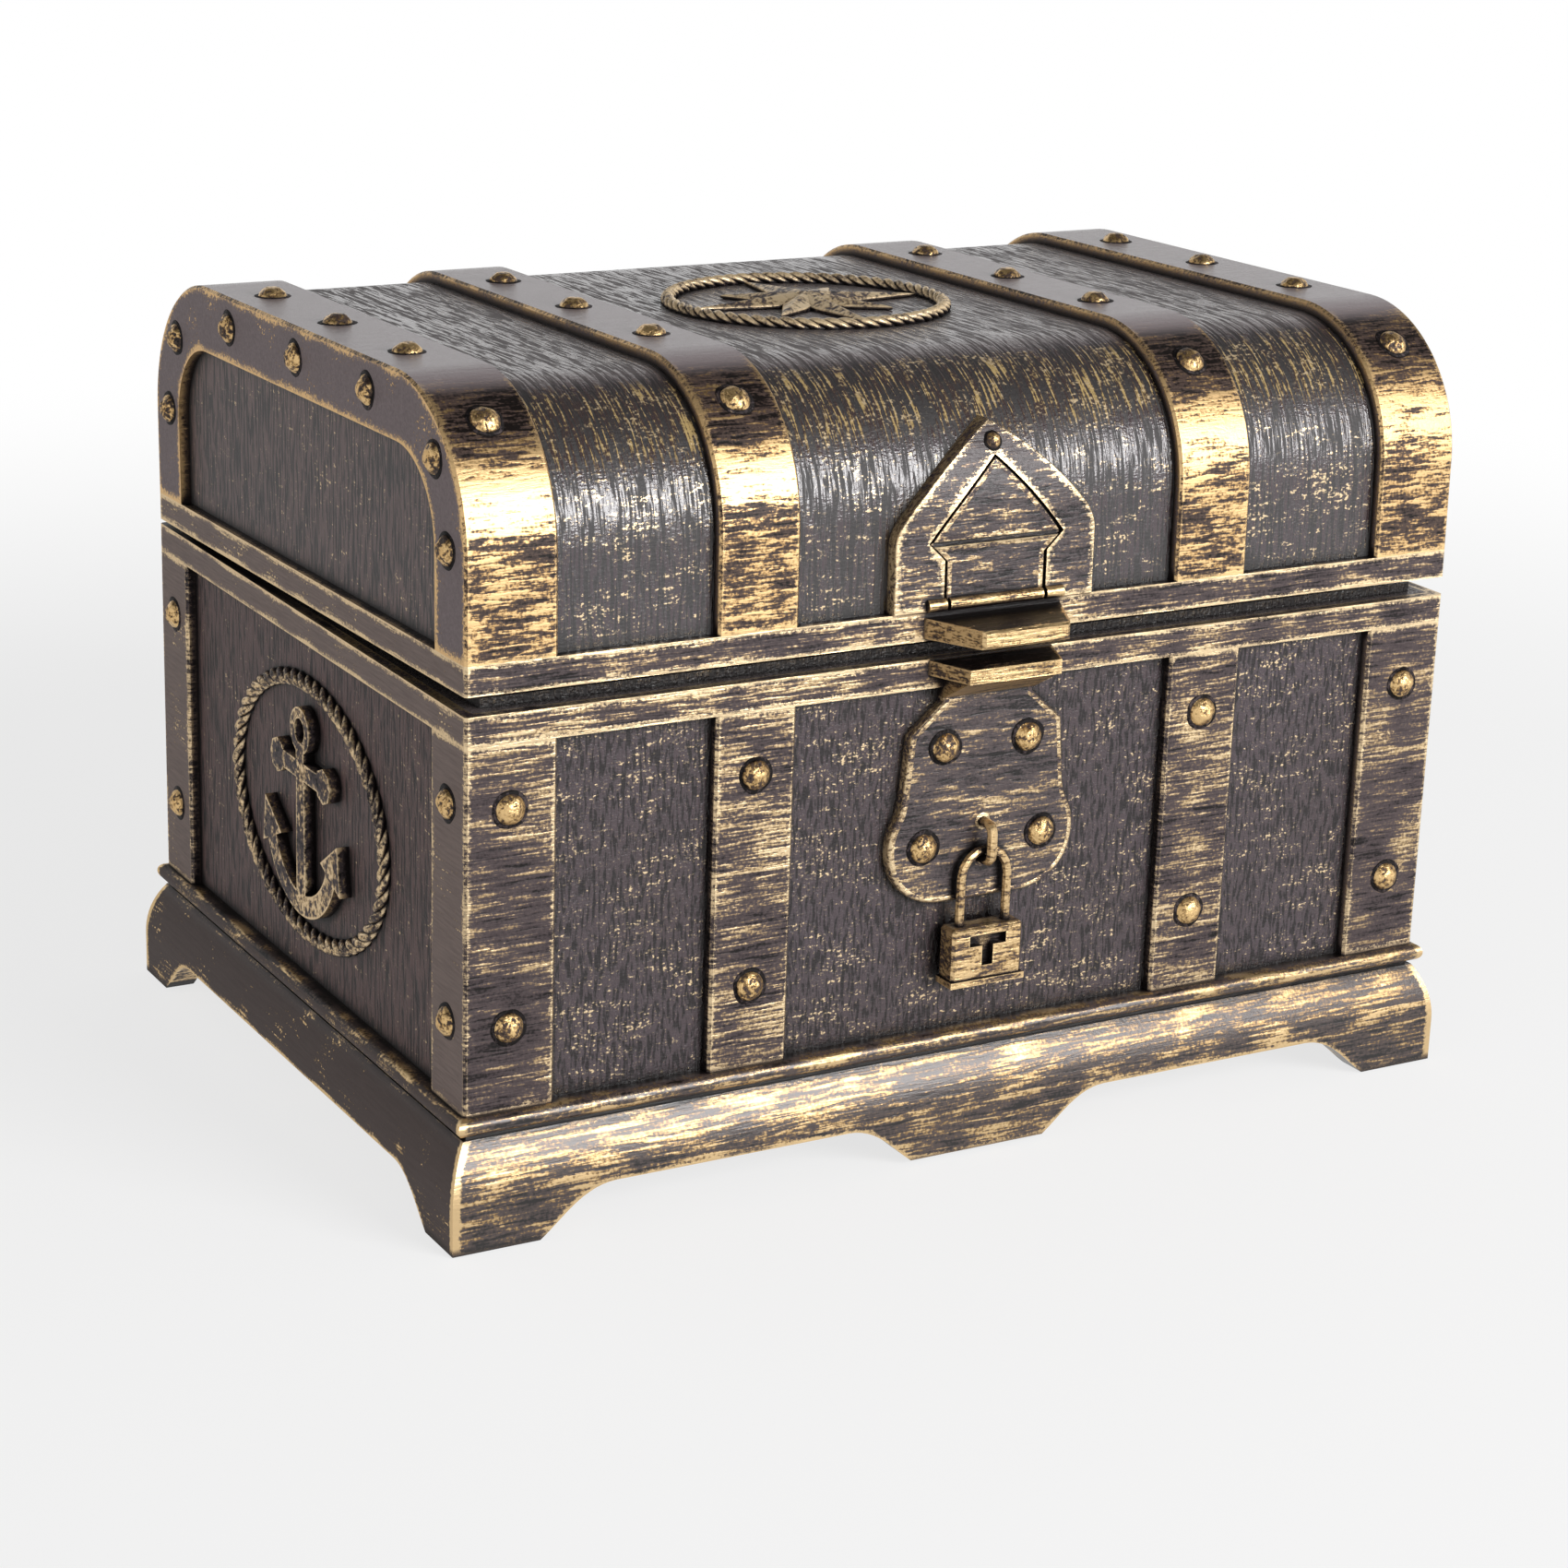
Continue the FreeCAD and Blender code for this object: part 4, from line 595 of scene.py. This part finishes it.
def hammered_rivets(node):
    """Every rivet of a node, each with flats of its own."""
    verts, faces, shadow_washed = [], [], []
    for corners in islands(nodes[node]):
        middle = corners.mean(axis=0)
        _, ways = np.linalg.eigh(np.cov((corners - middle).T))
        axis = outwards(Vector(ways[:, 0]), Vector(middle))
        across = axis.orthogonal().normalized()
        turn = Matrix((across, axis.cross(across), axis)).transposed()
        heights = (corners - middle) @ np.array(axis)
        radius = np.linalg.norm(corners - middle - np.outer(heights, axis), axis=1).max()
        foot = Vector(middle) + axis * (heights.max() - DOME_HEIGHT * radius)
        rings = rivet_rings(Vector(middle) / MM)
        start = len(verts)
        verts.extend(foot + turn @ spot * radius for ring in rings for spot in ring)
        for ring in range(len(rings) - 1):
            shadow_washed += [ring < len(SHADOW_WASH_RINGS)] * RIVET_SIDES
            for side in range(RIVET_SIDES):
                a = start + ring * RIVET_SIDES + side
                b = start + ring * RIVET_SIDES + (side + 1) % RIVET_SIDES
                faces.append((a, b, b + RIVET_SIDES, a + RIVET_SIDES))
        last = start + (len(rings) - 1) * RIVET_SIDES
        faces.append(tuple(range(last, last + RIVET_SIDES)))
        faces.append(tuple(reversed(range(start, start + RIVET_SIDES))))
        shadow_washed += [False, True]
    mesh = bpy.data.meshes.new(node + "_hammered")
    mesh.from_pydata([tuple(v) for v in verts], [], faces)
    add_piece(node + "_hammered", mesh, node)
    mesh.materials.append(rivet_shadow_wash)
    for face, dark in zip(mesh.polygons, shadow_washed):
        face.material_index = int(dark)


# Dressed plates and reliefs: what counts as a front, a side wall, a flat face and a groove
SQUARE_ON = 0.95
WALL_LEAN = 0.5
FLAT_DEG = 0.5
GROOVE_DEG = 30.0
BORDER_STEP_MM = 0.12
BEVEL_SEGMENTS = 3
ROUND_PROFILE = 0.5


def joined(node):
    """A node's mesh with its corners welded and its flat faces whole."""
    bm = bmesh.new()
    bm.from_mesh(nodes[node].data)
    bmesh.ops.remove_doubles(bm, verts=bm.verts, dist=WELD)
    bmesh.ops.dissolve_limit(bm, angle_limit=math.radians(FLAT_DEG), verts=bm.verts, edges=bm.edges)
    bm.normal_update()
    return bm


def hollow(edge):
    return edge.is_manifold and not edge.is_convex and edge.calc_face_angle() > math.radians(GROOVE_DEG)


def front_faces(bm):
    """Faces that look forward and are not the floor of a groove."""
    return [f for f in bm.faces if f.normal.y < -SQUARE_ON and not any(hollow(e) for e in f.edges)]


def is_side(face):
    return abs(face.normal.x) > WALL_LEAN or face.normal.y > -WALL_LEAN


def outline(bm, edges):
    """Those edges of a plate's front whose sides look away from its middle."""
    middle = sum((v.co for v in bm.verts), Vector()) / len(bm.verts)

    def looks_away(edge):
        spot = (edge.verts[0].co + edge.verts[1].co) / 2 - middle
        return sum(f.normal.dot(spot) for f in edge.link_faces) > 0

    return [e for e in edges if looks_away(e) and any(f.normal.y < -WALL_LEAN for f in e.link_faces)]


def dressed(node, bevel_mm=0.0, smooth_deg=40.0, border_mm=0.0, rim=None):
    """A copy of a node with outer edges rounded and round faces smooth.

    A rim's look covers the sides, the rounded edges and any border of the front.
    """
    bm = joined(node)
    smooth = math.radians(smooth_deg)
    for face in bm.faces:
        face.material_index = int(bool(rim) and is_side(face))
    if border_mm:
        ring = bmesh.ops.inset_region(bm, faces=front_faces(bm), thickness=border_mm * MM,
                                      depth=-BORDER_STEP_MM * MM, use_even_offset=True,
                                      use_boundary=True)
        for face in ring["faces"]:
            face.material_index = 1
    if bevel_mm:
        sharp = [e for e in bm.edges if e.is_manifold and e.is_convex and e.calc_face_angle() > smooth]
        if rim:
            sharp = outline(bm, sharp)
        bmesh.ops.bevel(bm, geom=sharp, offset=bevel_mm * MM, offset_type="OFFSET", affect="EDGES",
                        segments=BEVEL_SEGMENTS, profile=ROUND_PROFILE, clamp_overlap=True,
                        material=1 if rim else -1)
    for edge in bm.edges:
        same_look = len({f.material_index for f in edge.link_faces}) == 1
        edge.smooth = same_look and edge.is_manifold and edge.calc_face_angle() < smooth
    mesh = bpy.data.meshes.new(node + "_dressed")
    bm.to_mesh(mesh)
    bm.free()
    add_piece(node + "_dressed", mesh, node)
    if rim:
        mesh.materials.append(rim)


# Rope mouldings: the lay is in rope widths for one turn of the strands
ROPE_STRANDS = 3
ROPE_LAY = 3.0
ROPE_STEP_MM = 0.7
STRAND_SIDES = 10
STRAND_SHARE = 0.54
SUNK_MM = 0.1
ARC_STEPS = 2001


def laid_rope(node, width_mm):
    """Twisted strands round a flat ring node, cut off where they meet the panel."""
    corners = islands(nodes[node])[0] / MM
    _, ways = np.linalg.eigh(np.cov(corners.T))
    lows, highs = (corners @ ways).min(axis=0), (corners @ ways).max(axis=0)
    up, across, along = (Vector(way) for way in ways.T)
    middle = Vector(ways @ ((lows + highs) / 2))
    up = outwards(up, middle * MM)
    high, wide, long = highs - lows
    rope = width_mm / 2
    strand = rope * STRAND_SHARE
    half_long, half_wide = long / 2 - rope, wide / 2 - rope
    angles = np.linspace(0.0, 2 * math.pi, ARC_STEPS)
    steps = np.hypot(np.diff(half_long * np.cos(angles)), np.diff(half_wide * np.sin(angles)))
    travel = np.concatenate([[0.0], np.cumsum(steps)])
    count = int(travel[-1] / ROPE_STEP_MM)
    turns = round(travel[-1] / (ROPE_LAY * width_mm))
    verts, faces = [], []
    for one in range(ROPE_STRANDS):
        start = len(verts)
        for k in range(count):
            t = float(np.interp(k / count * travel[-1], travel, angles))
            spot = along * math.cos(t) * half_long + across * math.sin(t) * half_wide
            way = across * math.cos(t) * half_wide - along * math.sin(t) * half_long
            side = up.cross(way.normalized())
            lay = 2 * math.pi * (turns * k / count + one / ROPE_STRANDS)
            core = spot + (side * math.cos(lay) + up * math.sin(lay)) * (rope - strand)
            core += middle + up * (high / 2 - rope)
            for c in range(STRAND_SIDES):
                a = 2 * math.pi * c / STRAND_SIDES
                point = core + (side * math.cos(a) + up * math.sin(a)) * strand
                under = -high / 2 - SUNK_MM - (point - middle).dot(up)
                verts.append((point + up * max(under, 0.0)) * MM)
        for k in range(count):
            a = start + k * STRAND_SIDES
            b = start + (k + 1) % count * STRAND_SIDES
            for c in range(STRAND_SIDES):
                d = (c + 1) % STRAND_SIDES
                faces.append((a + c, a + d, b + d, b + c))
    mesh = bpy.data.meshes.new(node + "_laid")
    mesh.from_pydata([tuple(v) for v in verts], [], faces)
    bm = bmesh.new()
    bm.from_mesh(mesh)
    bmesh.ops.recalc_face_normals(bm, faces=bm.faces)
    bm.to_mesh(mesh)
    bm.free()
    add_piece(node + "_laid", mesh, node)


for name in [n for n in nodes if "rivet" in n]:
    hammered_rivets(name)
for side in ("left", "right"):
    laid_rope("end_rope_" + side, width_mm=3.2)
    dressed("end_anchor_" + side, bevel_mm=0.55)
dressed("lid_compass_star", bevel_mm=0.2, smooth_deg=15.0)
dressed("hasp_arch_plate", bevel_mm=0.3, rim=clasp_rims)
dressed("hasp_inner_panel", bevel_mm=0.25, border_mm=0.9, rim=clasp_rims)
dressed("lock_plate", bevel_mm=0.3, border_mm=0.6, rim=clasp_rims)
laid_rope("lid_compass_ring", width_mm=2.6)
dressed("lock_staple")
dressed("padlock_shackle")

# Floor, light and camera; lengths are in metres where no unit is named
FLOOR_REACH = 8.0
FLOOR_DROP = 0.0002
PAPER = (0.86, 0.86, 0.86, 1)
NEAR_GLOW = 0.74
GLOW_RANGE_MM = (240.0, 620.0)
SKY_SETTINGS = {"From Min": 0.32, "From Max": 0.74, "To Min": 1.0, "To Max": 0.07}
WHITE = (1, 1, 1, 1)
KEY_AT = (0.42, -1.04, 0.47)
KEY_AIM = (0, 0, 0.07)
KEY_SIZE = (0.62, 0.58)
KEY_RADIANCE = 11.0
CAMERA_AZIMUTH_DEG = -29.914
CAMERA_ELEVATION_DEG = 17.921
CAMERA_ROLL_DEG = 1.865
CAMERA_AIM_Z_MM = 46.0
CAMERA_DISTANCE = 0.6758
CAMERA_CLIP = (0.05, 50.0)
SENSOR_MM = 36.0
LENS_MM = 83.0


def floor_material():
    """Pale paper that takes shadows near the chest and turns white further off."""
    g = Graph("floor_paper")
    far = g.step(g.vector("LENGTH", g.place), *GLOW_RANGE_MM)
    glow_share = g.lerp(far, NEAR_GLOW, 1.0)
    paths = g.add("ShaderNodeLightPath")
    seen = g.math("MAXIMUM", paths.outputs["Is Camera Ray"], paths.outputs["Is Glossy Ray"])
    seen = g.math("MAXIMUM", seen, paths.outputs["Is Transmission Ray"])
    paper = g.add("ShaderNodeBsdfDiffuse")
    paper.inputs["Color"].default_value = PAPER
    glow = g.add("ShaderNodeEmission")
    mixed = g.add("ShaderNodeMixShader")
    g.put(mixed.inputs[0], g.times(glow_share, seen))
    g.put(mixed.inputs[1], paper.outputs[0])
    g.put(mixed.inputs[2], glow.outputs[0])
    g.show(mixed)
    return g.material


def add_floor():
    mesh = bpy.data.meshes.new("floor")
    corners = [(-FLOOR_REACH, -FLOOR_REACH, 0), (FLOOR_REACH, -FLOOR_REACH, 0),
               (FLOOR_REACH, FLOOR_REACH, 0), (-FLOOR_REACH, FLOOR_REACH, 0)]
    mesh.from_pydata(corners, [], [(0, 1, 2, 3)])
    floor = bpy.data.objects.new("floor", mesh)
    floor.location.z = -FLOOR_DROP
    mesh.materials.append(floor_material())
    bpy.context.scene.collection.objects.link(floor)


def add_world():
    """Pale at the horizon and dimmer overhead, the same for every ray."""
    world = bpy.data.worlds.new("studio")
    world.use_nodes = True
    tree = world.node_tree
    back = tree.nodes["Background"]
    coords = tree.nodes.new("ShaderNodeTexCoord")
    split = tree.nodes.new("ShaderNodeSeparateXYZ")
    tree.links.new(coords.outputs["Generated"], split.inputs[0])
    rise = tree.nodes.new("ShaderNodeMapRange")
    rise.interpolation_type = "SMOOTHSTEP"
    tree.links.new(split.outputs["Z"], rise.inputs["Value"])
    for key, value in SKY_SETTINGS.items():
        rise.inputs[key].default_value = value
    tree.links.new(rise.outputs[0], back.inputs["Strength"])
    back.inputs["Color"].default_value = WHITE
    bpy.context.scene.world = world


def add_key_lamp():
    """A large soft lamp above the front right, its strength given as radiance."""
    data = bpy.data.lights.new("key", "AREA")
    data.shape = "RECTANGLE"
    data.size, data.size_y = KEY_SIZE
    data.energy = KEY_RADIANCE * math.pi * KEY_SIZE[0] * KEY_SIZE[1]
    lamp = bpy.data.objects.new("key", data)
    lamp.location = KEY_AT
    lamp.rotation_euler = (Vector(KEY_AIM) - Vector(KEY_AT)).to_track_quat("-Z", "Y").to_euler()
    bpy.context.scene.collection.objects.link(lamp)


def add_camera():
    azimuth = math.radians(CAMERA_AZIMUTH_DEG)
    elevation = math.radians(CAMERA_ELEVATION_DEG)
    roll = math.radians(CAMERA_ROLL_DEG)
    back = Vector((math.sin(azimuth) * math.cos(elevation), -math.cos(azimuth) * math.cos(elevation),
                   math.sin(elevation)))
    right = Vector((0, 0, 1)).cross(back).normalized()
    up = back.cross(right)
    turned_right = math.cos(roll) * right + math.sin(roll) * up
    turned_up = -math.sin(roll) * right + math.cos(roll) * up
    data = bpy.data.cameras.new("camera")
    data.sensor_width = SENSOR_MM
    data.lens = LENS_MM
    data.clip_start, data.clip_end = CAMERA_CLIP
    camera = bpy.data.objects.new("camera", data)
    camera.matrix_world = Matrix((turned_right, turned_up, back)).transposed().to_4x4()
    camera.location = Vector((0, MIDDLE_Y, CAMERA_AIM_Z_MM)) * MM + back * CAMERA_DISTANCE
    bpy.context.scene.collection.objects.link(camera)
    bpy.context.scene.camera = camera


add_floor()
add_world()
add_key_lamp()
add_camera()
bpy.context.scene.view_settings.view_transform = "Standard"
